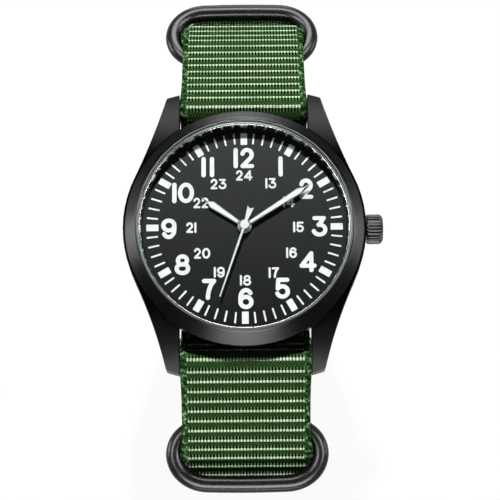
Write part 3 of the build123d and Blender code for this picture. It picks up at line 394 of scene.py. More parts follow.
class Look(Nodes):
    """One material and the nodes that are added to it."""

    def __init__(self, name, colour, roughness, metallic=0.0):
        self.material = bpy.data.materials.new(name)
        self.material.use_nodes = True
        super().__init__(self.material.node_tree)
        self.shader = self.tree.nodes["Principled BSDF"]
        self.set("Base Color", srgb(*colour))
        self.set("Roughness", roughness)
        self.set("Metallic", metallic)

    def set(self, name, value):
        self.feed(self.shader.inputs[name], value)

    def show(self, shader):
        """Makes a shader what the material shows."""
        self.feed(self.tree.nodes["Material Output"].inputs["Surface"], shader)
        return self.material

    def noise(self, scale, stretch=(1.0, 1.0, 1.0)):
        """Grey noise on the piece's own coordinates, with this many grains to the metre."""
        spot = self.fed("Mapping", {"Scale": stretch, "Vector": self.node("TexCoord").outputs["Object"]})
        return self.fed("TexNoise", {"Vector": spot, "Scale": scale, "Detail": 3.0})

    def swing(self, scale, reach):
        """Noise that swings about nought."""
        return self.times(self.calc("SUBTRACT", self.noise(scale), 0.5), reach)

    def ramp(self, value, *stops):
        """A colour from a value by (position, red, green, blue) stops."""
        made = self.node("ValToRGB")
        elements = made.color_ramp.elements
        while len(elements) < len(stops):
            elements.new(1.0)
        for element, (place, *colour) in zip(elements, stops):
            element.position = place
            element.color = srgb(*colour)
        self.feed(made.inputs[0], value)
        return made.outputs[0]

    def cloudy(self, value, low, high):
        """Two colours that run into each other by a noise."""
        self.set("Base Color", self.ramp(value, (0.3, *low), (0.7, *high)))

    def span(self, value, low, high):
        """Spreads a 0 to 1 value between two numbers."""
        return self.fed("MapRange", {"Value": value, "To Min": low, "To Max": high})

    def rise(self, value, low, high, kind="LINEAR"):
        """Nought at the low end of a value and one at its high end."""
        ends = {"Value": value, "From Min": low, "From Max": high}
        return self.fed("MapRange", ends, interpolation_type=kind)

    def blend(self, first, second, share):
        """A mix of two colours."""
        made = self.node("Mix", data_type="RGBA")
        for key, value in (("Factor", share), (6, first), (7, second)):
            self.feed(made.inputs[key], value)
        return made.outputs[2]

    def band(self, value, rise_from, full_from, full_to, fall_to):
        """One inside a band of values, nought outside it, with soft shoulders."""
        ends = ((rise_from, full_from), (fall_to, full_to))
        return self.times(*(self.rise(value, low, high, "SMOOTHSTEP") for low, high in ends))

    def bump(self, height, depth):
        """Bumps this many millimetres deep."""
        made = self.fed("Bump", {"Distance": depth * MM, "Height": height})
        self.set("Normal", made)


def coated(name, colour, roughness, grain):
    """Black coated steel: satin gloss that varies a little, and a fine grain."""
    low, high = roughness
    look = Look(name, colour, (low + high) / 2)
    look.set("Roughness", look.span(look.noise(900.0), low, high))
    look.bump(look.noise(9000.0), grain)
    return look


def ring_look():
    """Coated steel, almost black, with a soft shine."""
    look = coated("ring_coat", (4, 4, 5), (0.22, 0.33), smooth_coat_grain)
    look.set("Specular IOR Level", 0.14)
    look.cloudy(look.noise(220.0), (4, 4, 5), (7, 7, 8))
    return look.material


def case_look():
    """Coated steel with a painted reflection: paler and a little shinier towards the ends of the lugs,
    darker at their shoulders.
    """
    look = coated("case_coat", (9, 9, 10), (0.25, 0.36), coat_grain)
    # Painted reflection: from the shoulders to the lug ends the colour gets paler and the shine stronger,
    # standing for the surroundings that the lugs mirror
    reach = look.rise(look.calc("ABSOLUTE", look.place()["Y"]), shoulder_y * MM, lug_painted_light_y * MM)
    look.set("Specular IOR Level", look.span(reach, 0.004, 0.035))
    painted_light_level = look.plus(reach, look.swing(220.0, 0.4))
    look.set("Base Color", look.ramp(painted_light_level, (0.1, 1, 1, 2), (0.9, 14, 14, 15)))
    return look.material


def bezel_look():
    """Coated steel, turned on its axis, with its soft shine stretched across the fine rings; four fans of
    stronger shine at 12, 3, 6 and 9 are a painted reflection, fixed on the bezel.
    """
    look = coated("bezel_coat", (9, 9, 10), (0.32, 0.4), smooth_coat_grain)
    place = look.place()
    across, along = (look.times(place[axis], place[axis]) for axis in "XY")
    lean = look.calc("DIVIDE", look.calc("SUBTRACT", across, along), look.plus(across, along))
    # Painted reflection: the shine is made stronger in four fixed fans at 12, 3, 6 and 9, which turn with
    # the bezel
    painted_reflection_fans = look.calc("POWER", look.calc("ABSOLUTE", lean), 5.0)
    look.set("Specular IOR Level", look.span(painted_reflection_fans, 0.01, 0.24))
    look.cloudy(look.noise(220.0), (9, 9, 10), (15, 15, 16))
    look.set("Anisotropic", 0.9)
    look.set("Anisotropic Rotation", 0.25)
    look.set("Tangent", look.node("Tangent", direction_type="RADIAL", axis="Z").outputs[0])
    return look.material


def turned_look(name, low, high, roughness, stretch):
    """Bare metal with the fine streaks that a tool leaves along one direction."""
    look = Look(name, low, roughness, 1.0)
    streaks = look.noise(2500.0, stretch)
    look.cloudy(streaks, low, high)
    look.set("Roughness", look.span(look.noise(600.0), roughness - 0.06, roughness + 0.08))
    look.bump(streaks, turned_grain)
    return look.material


def plain_look(name, low, high, roughness, grain_scale, grain, shine):
    """Moulded or painted material with a fine grain."""
    look = Look(name, low, roughness)
    look.set("Specular IOR Level", shine)
    look.cloudy(look.noise(400.0), low, high)
    look.set("Roughness", look.span(look.noise(1500.0), roughness - 0.05, roughness + 0.05))
    look.bump(look.noise(grain_scale), grain)
    return look.material


def clear_look():
    """Flat mineral glass with a coating that keeps its reflection faint and its bending unseen."""
    look = Look("crystal_clear", (252, 254, 253), 0.0)
    look.set("Transmission Weight", 1.0)
    look.set("IOR", 1.0)
    straight = look.fed("BsdfTransparent", {"Color": srgb(253, 255, 254)})
    body = look.mixed(0.7, look.shader.outputs[0], straight)
    gloss = look.fed("BsdfGlossy", {"Roughness": 0.05})
    lean = look.calc("POWER", look.node("LayerWeight").outputs["Facing"], 4.0)
    sheen = look.mixed(look.times(lean, 0.03), body, gloss)
    return look.show(look.mixed(look.seen_by("Is Shadow Ray", "Is Diffuse Ray"), sheen, straight))


def weave_look():
    """Ribbed webbing: each rib is a row of yarns whose crest carries a painted highlight of bright dots,
    with painted shade in the dark gaps on its inner side.
    """
    look = Look("nylon_weave", (38, 72, 34), 0.6)
    look.set("Specular IOR Level", 0.0)
    split = look.node("SeparateXYZ")
    look.feed(split.inputs[0], look.node("UVMap", uv_map="weave").outputs[0])
    across, along = split.outputs[0], look.calc("ABSOLUTE", split.outputs[1])
    fibre = look.noise(5200.0)
    wobble = look.swing(1100.0, 0.16)

    def cycle(start, shift):
        return look.calc("FRACT", look.plus(start, shift))

    def arch(value):
        return look.calc("SINE", look.times(value, pi))

    rib = cycle(look.calc("DIVIDE", along, rib_pitch), look.times(wobble, 0.3))
    yarn = arch(cycle(look.calc("DIVIDE", across, yarn_pitch), wobble))

    # How far a spot is in the crest, where the highlight is painted, and in the row of gaps beside it, where
    # the shade is painted
    crest_and_highlight = look.band(rib, 0.64, 0.74, 0.85, 0.95)
    gap_rows_and_shade = look.band(rib, 0.32, 0.48, 0.64, 0.73)
    dot = look.calc("POWER", yarn, 0.7)
    deep = look.times(gap_rows_and_shade, look.calc("SUBTRACT", 1.0, look.calc("POWER", yarn, 1.4)))

    # The flat rows between the ribs and the selvedge show slanting threads
    twill = arch(cycle(look.calc("DIVIDE", along, twill_pitch), look.calc("DIVIDE", across, twill_width)))
    edge = look.rise(look.calc("ABSOLUTE", across), *selvedge_from, "SMOOTHSTEP")

    plain = look.ramp(look.plus(look.times(twill, 0.45), look.times(fibre, 0.6)),
                      (0.3, 12, 34, 9), (0.62, 36, 62, 30), (0.9, 74, 103, 63))
    strands = look.times(look.calc("SUBTRACT", fibre, 0.5), 0.3)
    # Painted shade: in the gap rows each yarn is dark at its sides and paler in its middle
    painted_shade_lines = look.ramp(look.plus(yarn, strands), (0.5, 3, 14, 2), (0.8, 40, 68, 33), (1.0, 104, 138, 92))
    # Painted highlight: bright, nearly white dots on each yarn of the crest
    painted_highlight_dots = look.ramp(look.plus(dot, look.swing(160.0, 0.5)),
                     (0.25, 66, 96, 56), (0.7, 158, 182, 144), (1.0, 226, 240, 212))
    specks = look.ramp(look.noise(1500.0), (0.4, 16, 42, 16), (0.56, 50, 86, 46), (0.68, 140, 176, 126))
    cloth = look.blend(look.blend(plain, painted_shade_lines, gap_rows_and_shade), painted_highlight_dots, crest_and_highlight)
    look.set("Base Color", look.blend(cloth, specks, edge))
    look.set("Roughness", look.span(fibre, 0.42, 0.62))
    body = look.calc("SUBTRACT", look.plus(look.times(dot, crest_and_highlight), 0.5), deep)
    look.bump(look.plus(body, look.times(look.times(twill, 0.35), edge)), weave_relief)
    return look.material


def rehaut_look():
    """Polished black metal, which mirrors the minute track but throws no bright spots on the dial."""
    look = Look("rehaut_polish", (152, 152, 154), 0.1, 1.0)
    look.cloudy(look.noise(300.0), (146, 146, 148), (158, 158, 160))
    look.set("Roughness", look.span(look.noise(500.0), 0.12, 0.18))
    matt = look.fed("BsdfDiffuse", {"Color": srgb(60, 60, 62)})
    return look.show(look.mixed(look.seen_by("Is Diffuse Ray"), look.shader.outputs[0], matt))


def dial_look():
    """Matt charcoal paint with a very fine grain, and painted light: paler towards the 12 side, darker
    towards the 6 side.
    """
    look = Look("dial_paint", (30, 30, 31), 0.5)
    # Painted light: the base colour rises from the 6 side to the 12 side
    height = look.rise(look.place()["Y"], -dial_r * MM, dial_r * MM)
    painted_light_level = look.plus(height, look.swing(3500.0, 0.16))
    look.set("Base Color", look.ramp(painted_light_level, (0.0, 30, 30, 31), (0.5, 47, 47, 48), (1.0, 60, 60, 61)))
    look.set("Specular IOR Level", 0.0)
    look.bump(look.noise(14000.0), dial_grain)
    return look.material


def make_looks():
    """Every look by its key."""
    made = {
        "case": case_look(), "bezel": bezel_look(), "ring": ring_look(), "rehaut": rehaut_look(),
        "clear": clear_look(), "dial": dial_look(), "nylon": weave_look(),
    }
    made.update({key: plain_look(*values) for key, values in plain_looks.items()})
    made.update({key: turned_look(*values) for key, values in turned_looks.items()})
    return made


looks = make_looks()


# Mesh pieces


def circle(count):
    """The angles of this many even steps round a circle."""
    return [2 * pi * k / count for k in range(count)]


def head_place(turn=0.0):
    """The matrix from the watch head's millimetres to the row frame's."""
    return Matrix.Translation((0, 0, lift)) @ Matrix.Rotation(radians(turn), 4, "Z")


def on_stage(name, data):
    """A new object of the scene."""
    made = bpy.data.objects.new(name, data)
    bpy.context.scene.collection.objects.link(made)
    return made


def mesh_from(name, shape, place):
    """A mesh from points in millimetres and faces, moved by a matrix in millimetres."""
    points, faces = shape
    mesh = bpy.data.meshes.new(name)
    mesh.from_pydata([(place @ Vector(p)) * MM for p in points], [], faces)
    return mesh


def finish_piece(name, mesh, body, look, nodes, sharp_angle=38.0):
    """Links a finished mesh as a piece that rides on a body and may stand for CAD nodes."""
    work = bmesh.new()
    work.from_mesh(mesh)
    bmesh.ops.remove_doubles(work, verts=work.verts, dist=merge_m)
    bmesh.ops.recalc_face_normals(work, faces=work.faces)
    work.to_mesh(mesh)
    work.free()
    mesh.shade_smooth()
    mesh.set_sharp_from_angle(angle=radians(sharp_angle))
    if not mesh.materials:
        mesh.materials.append(looks[look])
    piece = on_stage(name, mesh)
    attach(piece, body)
    if nodes:
        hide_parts(*nodes)
    return piece


def piece_from(name, shape, body, look, nodes=(), place=head_place()):
    """A piece from points in millimetres and faces, moved by a matrix in millimetres."""
    return finish_piece(name, mesh_from(name, shape, place), body, look, nodes)


def rounded(outline, radius, steps=3):
    """A closed outline with its corners rounded, as far as its edges allow."""
    made = []
    for index, corner in enumerate(outline):
        corner = Vector(corner)
        back = Vector(outline[index - 1]) - corner
        ahead = Vector(outline[(index + 1) % len(outline)]) - corner
        reach = min(radius, back.length * corner_reach_share, ahead.length * corner_reach_share)
        start = corner + back.normalized() * reach
        end = corner + ahead.normalized() * reach
        for step in range(steps + 1):
            t = step / steps
            made.append(start * (1 - t) ** 2 + corner * (2 * t * (1 - t)) + end * t ** 2)
    return [tuple(p) for p in made]


def lathe(profile):
    """Points and faces of a closed (radius, height) outline turned about the Z axis."""
    turns = circle(turned_steps)
    rings = [[(r * cos(turn), r * sin(turn), z) for r, z in profile] for turn in turns]
    return skin(rings, closed_path=True)


def skin(rings, closed_path=False, caps=True):
    """Points and faces of a row of equal point rings joined by quads."""
    count = len(rings[0])
    points = [p for ring in rings for p in ring]
    faces = []
    last = len(rings) if closed_path else len(rings) - 1
    for i in range(last):
        j = (i + 1) % len(rings)
        for k in range(count):
            m = (k + 1) % count
            faces.append((i * count + k, i * count + m, j * count + m, j * count + k))
    if caps and not closed_path:
        faces.append(tuple(range(count)))
        faces.append(tuple(range(len(points) - count, len(points))))
    return points, faces


def dressed(node, body, look, edge):
    """A copy of a CAD node's mesh with softened edges, which stands for the node."""
    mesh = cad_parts[node].data.copy()
    mesh.materials.clear()
    work = bmesh.new()
    work.from_mesh(mesh)
    bmesh.ops.remove_doubles(work, verts=work.verts, dist=cad_merge_m)
    flat_angle, sharp_angle = (radians(angle) for angle in cad_edge_angles)
    bmesh.ops.dissolve_limit(work, angle_limit=flat_angle, verts=work.verts, edges=work.edges)
    sharp = [e for e in work.edges if len(e.link_faces) == 2 and e.calc_face_angle() > sharp_angle]
    bmesh.ops.bevel(
        work, geom=sharp, offset=edge * MM, segments=3, profile=0.5, affect="EDGES", clamp_overlap=True
    )
    work.to_mesh(mesh)
    work.free()
    piece = finish_piece(f"{node}_looks", mesh, body, look, [node], sharp_angle=30.0)
    piece.modifiers.new("even_shading", "WEIGHTED_NORMAL").keep_sharp = True


# Case, bezel, crystal and rehaut


def make_bezel():
    """The cone of the bezel, which runs on over the case's edge."""
    inner_r = rehaut_outer_r + rehaut_inner_gap
    outline = (
        (gasket_r, crystal_low_z),
        (inner_r, crystal_low_z),
        (inner_r, bezel_foot_z),
        (bezel_spigot_r, bezel_foot_z),
        (bezel_spigot_r, bezel_seat_z),
        (bezel_outer_r, bezel_seat_z),
        (bezel_skirt_r, bezel_skirt_z),
        (bezel_top_r, bezel_top_z),
        (gasket_r, bezel_top_z),
    )
    piece_from("bezel_looks", lathe(rounded(outline, bezel_edge_round, 4)), "case", "bezel", ["bezel"])


def make_crystal():
    """The glass, whose side is ground and whose lower chamfer is painted pale: a painted highlight where the
    chamfer catches the light.
    """
    top = crystal_low_z + crystal_t
    rim = crystal_r - crystal_chamfer
    outline = (
        (0, crystal_low_z),
        (crystal_r - crystal_low_chamfer, crystal_low_z),
        (crystal_r, crystal_low_z + crystal_low_chamfer),
        (crystal_r, top - crystal_chamfer),
        (rim, top),
        (0, top),
    )
    mesh = mesh_from("crystal_looks", lathe(outline), head_place())
    for look in ("clear", "crystal_edge_highlight", "crystal_side"):
        mesh.materials.append(looks[look])
    for face in mesh.polygons:
        middle = face.center
        away = hypot(middle.x, middle.y) / MM
        is_low = middle.z < (lift + crystal_low_z + crystal_low_chamfer) * MM
        is_rim = away > (rim + 2 * slack if is_low else crystal_r - slack)
        if is_rim:
            face.material_index = 1 if is_low else 2
    finish_piece("crystal_looks", mesh, "case", "clear", ["crystal"], sharp_angle=20.0)


def make_rehaut():
    """The sloped ring between dial and crystal."""
    outline = (
        (rehaut_bottom_r, 0),
        (rehaut_outer_r, 0),
        (rehaut_outer_r, crystal_low_z),
        (rehaut_top_r, crystal_low_z),
    )
    piece_from("rehaut_looks", lathe(rounded(outline, edge_round)), "case", "rehaut", ["rehaut"])


def make_crown():
    """The fluted crown: rounded grips that fade into a chamfer, and a flat end."""
    count = crown_flutes * crown_flute_steps
    rings = []
    for along, share, depth_share in crown_shape:
        ring = []
        for angle in circle(count):
            wave = (1 - cos(angle * crown_flutes)) / 2
            radius = crown_r * share - crown_flute_depth * depth_share * wave ** 2
            ring.append((crown_low_x + along, radius * cos(angle), stem_z + radius * sin(angle)))
        rings.append(ring)
    points, faces = skin(rings, caps=False)
    faces.append(tuple(range(count)))
    piece_from("crown_looks", (points, faces), "crown", "crown", ["crown"])


# Dial printing


def arc(centre, radii, start, end, steps=14):
    """Points of an elliptical arc between two angles."""
    made = []
    for step in range(steps + 1):
        angle = radians(start + (end - start) * step / steps)
        made.append((centre[0] + radii[0] * cos(angle), centre[1] + radii[1] * sin(angle)))
    return made


def digit_strokes(digit):
    """The centrelines of a digit in a box of 1 by 1."""
    middle = (0.5, 0.5)
    upper, lower = (0.5, 0.75), (0.5, 0.27)
    bowl = (0.51, 0.31)
    tail = (0.51, 0.45)
    return {
        "0": [arc(middle, middle, 90, 450, 28)],
        "1": [[(0.5, 0.0), (0.5, 1.0)]],
        "2": [arc((0.5, 0.7), (0.48, 0.3), 168, -34) + [(0.03, 0.01)], [(0.03, 0.0), (1.0, 0.0)]],
        "3": [
            [(0.06, 1.0), (0.86, 1.0)], [(0.86, 1.0), (0.42, 0.58)], arc((0.47, 0.3), (0.51, 0.3), 98, -164)
        ],
        "4": [[(0.76, 0.0), (0.76, 1.0)], [(0.76, 1.0), (0.0, 0.26)], [(0.0, 0.26), (1.0, 0.26)]],
        "5": [[(0.94, 1.0), (0.12, 1.0)], [(0.12, 1.0), (0.07, 0.5)], arc((0.49, 0.31), bowl, 146, -158)],
        "6": [arc((0.5, 0.3), (0.5, 0.3), 0, 360, 24), [(0.0, 0.3)] + arc((0.51, 0.55), tail, 180, 36)],
        "7": [[(0.0, 1.0), (0.98, 1.0)], arc((1.36, -0.12), (1.0, 1.2), 112, 174, 8)],
        "8": [arc(upper, (0.4, 0.25), -90, 270, 22), arc(lower, (0.5, 0.27), 90, 450, 24)],
        "9": [arc((0.5, 0.7), (0.5, 0.3), 0, 360, 24), [(1.0, 0.7)] + arc((0.49, 0.45), tail, 0, -144)],
    }[digit]


def stroke(points, width, height, low):
    """A raised line of paint with round ends, as points and faces."""
    half = width / 2
    line = [Vector(p) for p in points]
    is_loop = (line[0] - line[-1]).length < slack
    if is_loop:
        line.pop()
    first = (line[0] - line[1]).normalized()
    last = (line[-1] - line[-2]).normalized()
    stations = [(p, 1.0) for p in line]
    if not is_loop:
        head = [(line[0] + first * half * t, sqrt(1 - t * t)) for t in reversed(stroke_end_shares)]
        tail = [(line[-1] + last * half * t, sqrt(1 - t * t)) for t in stroke_end_shares]
        stations = head + stations + tail
    rings = []
    count = len(stations)
    least_wide, least_high = stroke_least_shares
    for i, (place, share) in enumerate(stations):
        before = stations[i - 1 if is_loop else max(i - 1, 0)][0]
        after = stations[(i + 1) % count if is_loop else min(i + 1, count - 1)][0]
        heading = (after - before).normalized()
        side = Vector((-heading.y, heading.x))
        ring = []
        for k in range(stroke_sides + 1):
            angle = pi * k / stroke_sides
            spot = place + side * (half * max(share, least_wide) * cos(angle))
            rise = min(1.0, stroke_shoulder * sin(angle))
            ring.append((spot.x, spot.y, low + height * rise * max(share, least_high)))
        rings.append(ring)
    return skin(rings, closed_path=is_loop)


def digit_width(digit, style):
    """A digit's width, which is that of its bar alone for a 1."""
    return style["bar"] if digit == "1" else digit_widths[digit] * style["scale"]


def number_strokes(text, centre, style):
    """Every stroke of an upright number centred on a place, with its width."""
    widths = [digit_width(d, style) for d in text]
    gap = pair_gaps.get(text, style["gap"])
    left = centre[0] - (sum(widths) + gap * (len(text) - 1)) / 2
    made = []
    for digit, width in zip(text, widths):
        line = style["bar"] if digit == "1" else style["stroke"]
        box = (width - line, style["height"] - line)
        corner = (left + line / 2, centre[1] - box[1] / 2)
        for path in digit_strokes(digit):
            made.append(([(corner[0] + x * box[0], corner[1] + y * box[1]) for x, y in path], line))
        left += width + gap
    return made


def bar_mark(angle, length, width):
    """A radial bar of the minute track as points and faces."""
    half = width / 2
    low_r = track_outer_r - length
    base = ((-half, low_r), (half, low_r), (half, track_outer_r), (-half, track_outer_r))
    turn = Matrix.Rotation(radians(-angle), 2)
    ring = [turn @ Vector(p) for p in rounded(base, mark_corner, 2)]
    return skin([[(p.x, p.y, z) for p in ring] for z in (-print_h, print_h)])


def joined(parts):
    """Several (points, faces) pairs as one."""
    points, faces = [], []
    for more_points, more_faces in parts:
        start = len(points)
        points += more_points
        faces += [tuple(start + v for v in face) for face in more_faces]
    return points, faces


def polar(radius, clock):
    """A place on the dial at a clockwise angle from 12."""
    angle = radians(clock)
    return radius * sin(angle), radius * cos(angle)


def make_dial_print():
    """The minute track and the hours in white paint."""
    parts = []
    for minute in range(60):
        is_block = minute % 5 == 0
        length, width = (block_length, block_width) if is_block else (tick_length, tick_width)
        parts.append(bar_mark(6 * minute, length, width))
    for hour, (radius, *shift) in number_places.items():
        style = hour_digit if hour <= 12 else day_digit
        middle = Vector(polar(radius, 30 * hour)) + Vector(shift)
        for n, (path, width) in enumerate(number_strokes(str(hour), middle, style)):
            parts.append(stroke(path, width, print_h + n * stroke_step, 0.0))
    piece = piece_from("dial_print", joined(parts), "case", "print")


# Hands


def prism(outline, low, high, chamfer):
    """A plate with chamfered top edges. Its outline is convex enough to shrink towards its middle line."""
    layers = ((outline, low), (outline, high - chamfer), (shrunk(outline, chamfer), high))
    return skin([[(x, y, z) for x, y in loop] for loop, z in layers])


def shrunk(outline, inset):
    """An anticlockwise outline moved inwards by an inset, corner by corner."""
    made = []
    for i, corner in enumerate(outline):
        before, here, after = (Vector(p) for p in (outline[i - 1], corner, outline[(i + 1) % len(outline)]))
        inwards = [Vector((-edge.y, edge.x)).normalized() for edge in (here - before, after - here)]
        normal = inwards[0] + inwards[1]
        if normal.length < parallel_slack:
            normal = inwards[0]
        normal = normal.normalized()
        square = max(normal.dot(inwards[0]), corner_least_share)
        made.append(tuple(here + normal * (inset / square)))
    return made


def disc_outline(radius, steps=48):
    """An anticlockwise circle."""
    return [(radius * cos(angle), radius * sin(angle)) for angle in circle(steps)]


def both_sides(half):
    """An anticlockwise outline from its right half."""
    return list(half) + [(-x, y) for x, y in reversed(half)]


def leaf_outline(hand):
    """The leaf shape of a hand, from its foot to its point."""
    length = hand["length"]
    return both_sides((
        (hand["neck"] / 2, hand["boss_r"] * hand_foot_share),
        (hand["belly"] / 2, length * hand["belly_share"]),
        (hand_needle / 2, length * hand["shoulder_share"]),
        (hand_point / 2, length),
    ))


def lume_outline(hand):
    """The white field inside a hand's frame."""
    length = hand["length"]
    return both_sides((
        (hand["neck"] / 2 - hand_frame_width * lume["neck_share"], hand["boss_r"] + lume["foot_gap"]),
        (hand["belly"] / 2 - hand_frame_width, length * hand["belly_share"] - lume["belly_gap"]),
        (hand_point / 2, length * hand["shoulder_share"] - lume["tip_gap"]),
    ))


def make_leaf_hand(name, body, hand):
    """A hand's silver frame with its boss, and the white field in it."""
    low, high = hand["z"], hand["z"] + hand_t
    place = head_place(hand["turn"])
    outlines = (disc_outline(hand["boss_r"]), leaf_outline(hand))
    shape = joined([prism(outline, low, high, hand_chamfer) for outline in outlines])
    piece_from(f"{name}_frame", shape, body, "hand", [name], place)
    shape = prism(lume_outline(hand), high - lume["sunk"], high + lume["proud"], lume["chamfer"])
    piece = piece_from(f"{name}_lume", shape, body, "lume", (), place)


def make_second_hand():
    """The white needle, its flared tail and its boss with a pin."""
    low, high = second_hand_z, second_hand_z + hand_t
    end = -second_tail_length
    needle = both_sides(((needle_root, 0.0), (needle_tip, second_hand_length)))
    quarters = [k / 4 for k in range(-3, 4)]
    hollow = [(second_tail_flare * t, end + second_tail_hollow * (1 - t ** 2)) for t in quarters]
    right = ((second_tail_flare, end), (second_tail_waist, -second_boss_r), (needle_root, 0.0))
    tail = [*((-x, y) for x, y in reversed(right)), *hollow, *right]
    parts = [
        prism(needle, low, high, second_chamfer),
        prism(tail, low, high, second_chamfer),
        prism(disc_outline(second_boss_r), low, high + second_boss_rise, second_boss_chamfer),
        prism(disc_outline(second_pin_r, 24), high, high + second_pin_rise, hand_chamfer),
    ]
    place = head_place(second_hand_turn)
    piece_from("second_hand_looks", joined(parts), "seconds", "white", ["second_hand"], place)


# Webbing, along the same runs and turns as the CAD straps


class Track:
    """The centreline of a strap in the (Y, Z) plane: straight runs and tangent turns."""

    def __init__(self, start):
        self.place = Vector(start)
        self.heading = 0.0
        self.moves = []
        self.length = 0.0

    def run(self, length):
        self.go(length, 0.0)

    def turn(self, radius, angle):
        """Turns left by a positive angle and right by a negative one."""
        self.go(radius * radians(abs(angle)), angle)

    def go(self, length, angle):
        """One move: a straight run when its angle is nought."""
        move = (self.length, self.place, self.heading, length, angle)
        self.moves.append(move)
        self.place, self.heading = self.after(move, length)
        self.length += length

    @staticmethod
    def step(heading):
        angle = radians(heading)
        return Vector((cos(angle), sin(angle)))

    def after(self, move, part):
        """The place and the heading after a part of a move."""
        _, place, heading, length, angle = move
        if not angle:
            return place + self.step(heading) * part, heading
        radius = length / radians(abs(angle))
        turned = angle * part / length
        side = heading + copysign(90.0, angle)
        centre = place + self.step(side) * radius
        return centre - self.step(side + turned) * radius, heading + turned

    def spot(self, distance):
        """The place and the heading at a distance along the track."""
        move = [made for made in self.moves if made[0] <= distance + track_slack][-1]
        return self.after(move, min(distance - move[0], move[3]))


strap_half = strap_t / 2
wire_to_strap = ring_wire_r + ring_seat_gap + strap_half
wire_to_under = ring_wire_r + ring_seat_gap + under_t / 2
eye_to_strap = wire_to_under + under_t / 2 + layer_gap + strap_half
bar_spacing = ring_height - 2 * ring_wire_r
strap_flat_z = -back_depth - layer_gap - strap_half
under_flat_z = strap_flat_z - strap_half - layer_gap - under_t / 2
wrap_r = bar_r + slack + strap_half
corner_r = bar_z - strap_flat_z
layer_pitch = strap_t + layer_gap
ring_lean = degrees(asin((eye_to_strap + wire_to_strap) / bar_spacing))
ring_plane = ring_lean - strap_slope - ring_bend
level_a = -loop_drop
level_b = level_a - layer_pitch
heel_z = level_a + wire_to_strap
buckle_lean = degrees(asin((2 * wire_to_strap + layer_pitch) / bar_spacing))
keeper_ys = [buckle_y + pocket_pitch * n for n in (1, 2)]
tail_end_y = keeper_ys[-1] + bar_spacing + tail_past_keeper


def head_track(reach):
    """From under the case, over a spring bar, to under the front bar of a ring."""
    back_y = reach - cos(radians(ring_plane)) * bar_spacing / 2
    slope = radians(strap_slope)
    track = Track((0.0, strap_flat_z))
    track.run(bar_y - wrap_r - corner_r)
    track.turn(corner_r, 90)
    track.turn(wrap_r, -90 - strap_slope)
    top_y = back_y + eye_to_strap * sin(slope)
    track.run((top_y - bar_y - wrap_r * sin(slope)) / cos(slope))
    back_bar = track.place + track.step(track.heading - 90) * eye_to_strap
    track.turn(eye_to_strap, -ring_bend)
    track.run(bar_spacing * cos(radians(ring_lean)))
    return track, back_bar, track.length


def round_wrist(track, level):
    """Down from a ring and round to the flat run under the wrist."""
    track.turn(shoulder_r, -90 - strap_tuck - track.heading)
    fall = track.place[1] - level - sole_r * (1 - sin(radians(strap_tuck)))
    track.run(fall / cos(radians(strap_tuck)))
    track.turn(sole_r, strap_tuck - 90)


def dip_run(radius, fall):
    """The straight run between two turns that together fall this far."""
    angle = radians(fold_dip)
    return (fall - 2 * radius * (1 - cos(angle))) / sin(angle)


def fold_back(track, radius, pitch):
    """Round a bar and back along the strap, one pitch beside it."""
    track.turn(radius, -180 - fold_dip)
    track.run(dip_run(radius, 2 * radius - pitch))
    track.turn(radius, fold_dip)


def buckle_half():
    """The 12 side of the strap, folded round the buckle and over the keepers."""
    track, back_bar, front = head_track(ring_12_reach)
    round_wrist(track, level_a)
    track.run(track.place[0] - buckle_y)
    pinches = ring_pinches(front) + [(track.length + wire_to_strap * radians(90), *fold_pinch)]
    fold_back(track, wire_to_strap, layer_pitch)
    fall = 2 * wire_to_strap - layer_pitch
    angle = radians(fold_dip)
    half = 2 * wire_to_strap * sin(angle) + dip_run(wire_to_strap, fall) * cos(angle)
    for _ in keeper_ys:
        track.run(pocket_pitch - 2 * half)
        track.turn(wire_to_strap, fold_dip)
        track.run(dip_run(wire_to_strap, fall))
        pinches.append((track.length + wire_to_strap * angle, *fold_pinch))
        track.turn(wire_to_strap, -2 * fold_dip)
        track.run(dip_run(wire_to_strap, fall))
        track.turn(wire_to_strap, fold_dip)
    track.run(fold_return)
    return track, back_bar, pinches


def tail_half():
    """The 6 side, mirrored, on to the tail under the buckle and the keepers."""
    track, back_bar, front = head_track(ring_6_reach)
    round_wrist(track, level_b)
    start = track.length + track.place[0]
    track.run(track.place[0] + tail_end_y)
    across = bar_spacing * cos(radians(buckle_lean))
    fronts = [-buckle_y + across] + [-y - across for y in keeper_ys]
    return track, back_bar, ring_pinches(front) + [(start - y, *front_pinch) for y in fronts]


def under_half(back_bar):
    """Half of the under-strap, to its eye round a ring's back bar."""
    centre = Vector((under_flat_y, under_flat_z - under_bend_r))
    gap = back_bar - centre
    along = degrees(atan2(gap[1], gap[0]))
    lean = degrees(asin((under_bend_r - wire_to_under) / gap.length))
    track = Track((0.0, under_flat_z))
    track.run(under_flat_y)
    track.turn(under_bend_r, along - lean)
    track.run(sqrt(gap.length ** 2 - (under_bend_r - wire_to_under) ** 2))
    eye = track.length + wire_to_under * radians(90)
    fold_back(track, wire_to_under, under_t + layer_gap)
    track.run(fold_return)
    return track, [(eye, *fold_pinch)]


def stations(length, flip):
    """Distances along half a strap that catch every rib's profile, with the rib's height at each."""
    made = []
    for n in range(int(length / rib_pitch) + 1):
        for share in rib_shares:
            distance = (n + share) * rib_pitch
            if distance < length - 4 * slack:
                rise = (1 + cos(2 * pi * (share - rib_crest_share))) / 2
                made.append((distance, rise))
    made.append((length, 0.0))
    return made[1:] if flip else made


def pinched(distance, pinches):
    """Half the strap's width: drawn in where it passes a ring's corners, and snug between the lugs."""
    full = strap_width / 2
    half = full
    for place, goal, before, after in pinches:
        away = distance - place
        reach = before if away < 0 else after
        if abs(away) < reach:
            share = (1 + cos(pi * (abs(away) / reach) ** pinch_power)) / 2
            drawn = full - (full - goal) * share
            half = max(half, drawn) if goal > full else min(half, drawn)
    return half


def ring_pinches(front):
    """Where the strap fills the lugs, fills a ring and is drawn in under its front bar."""
    before_ring, *ring_fit = ring_snug
    return [lug_snug, (front - before_ring, *ring_fit), (front, *front_pinch)]


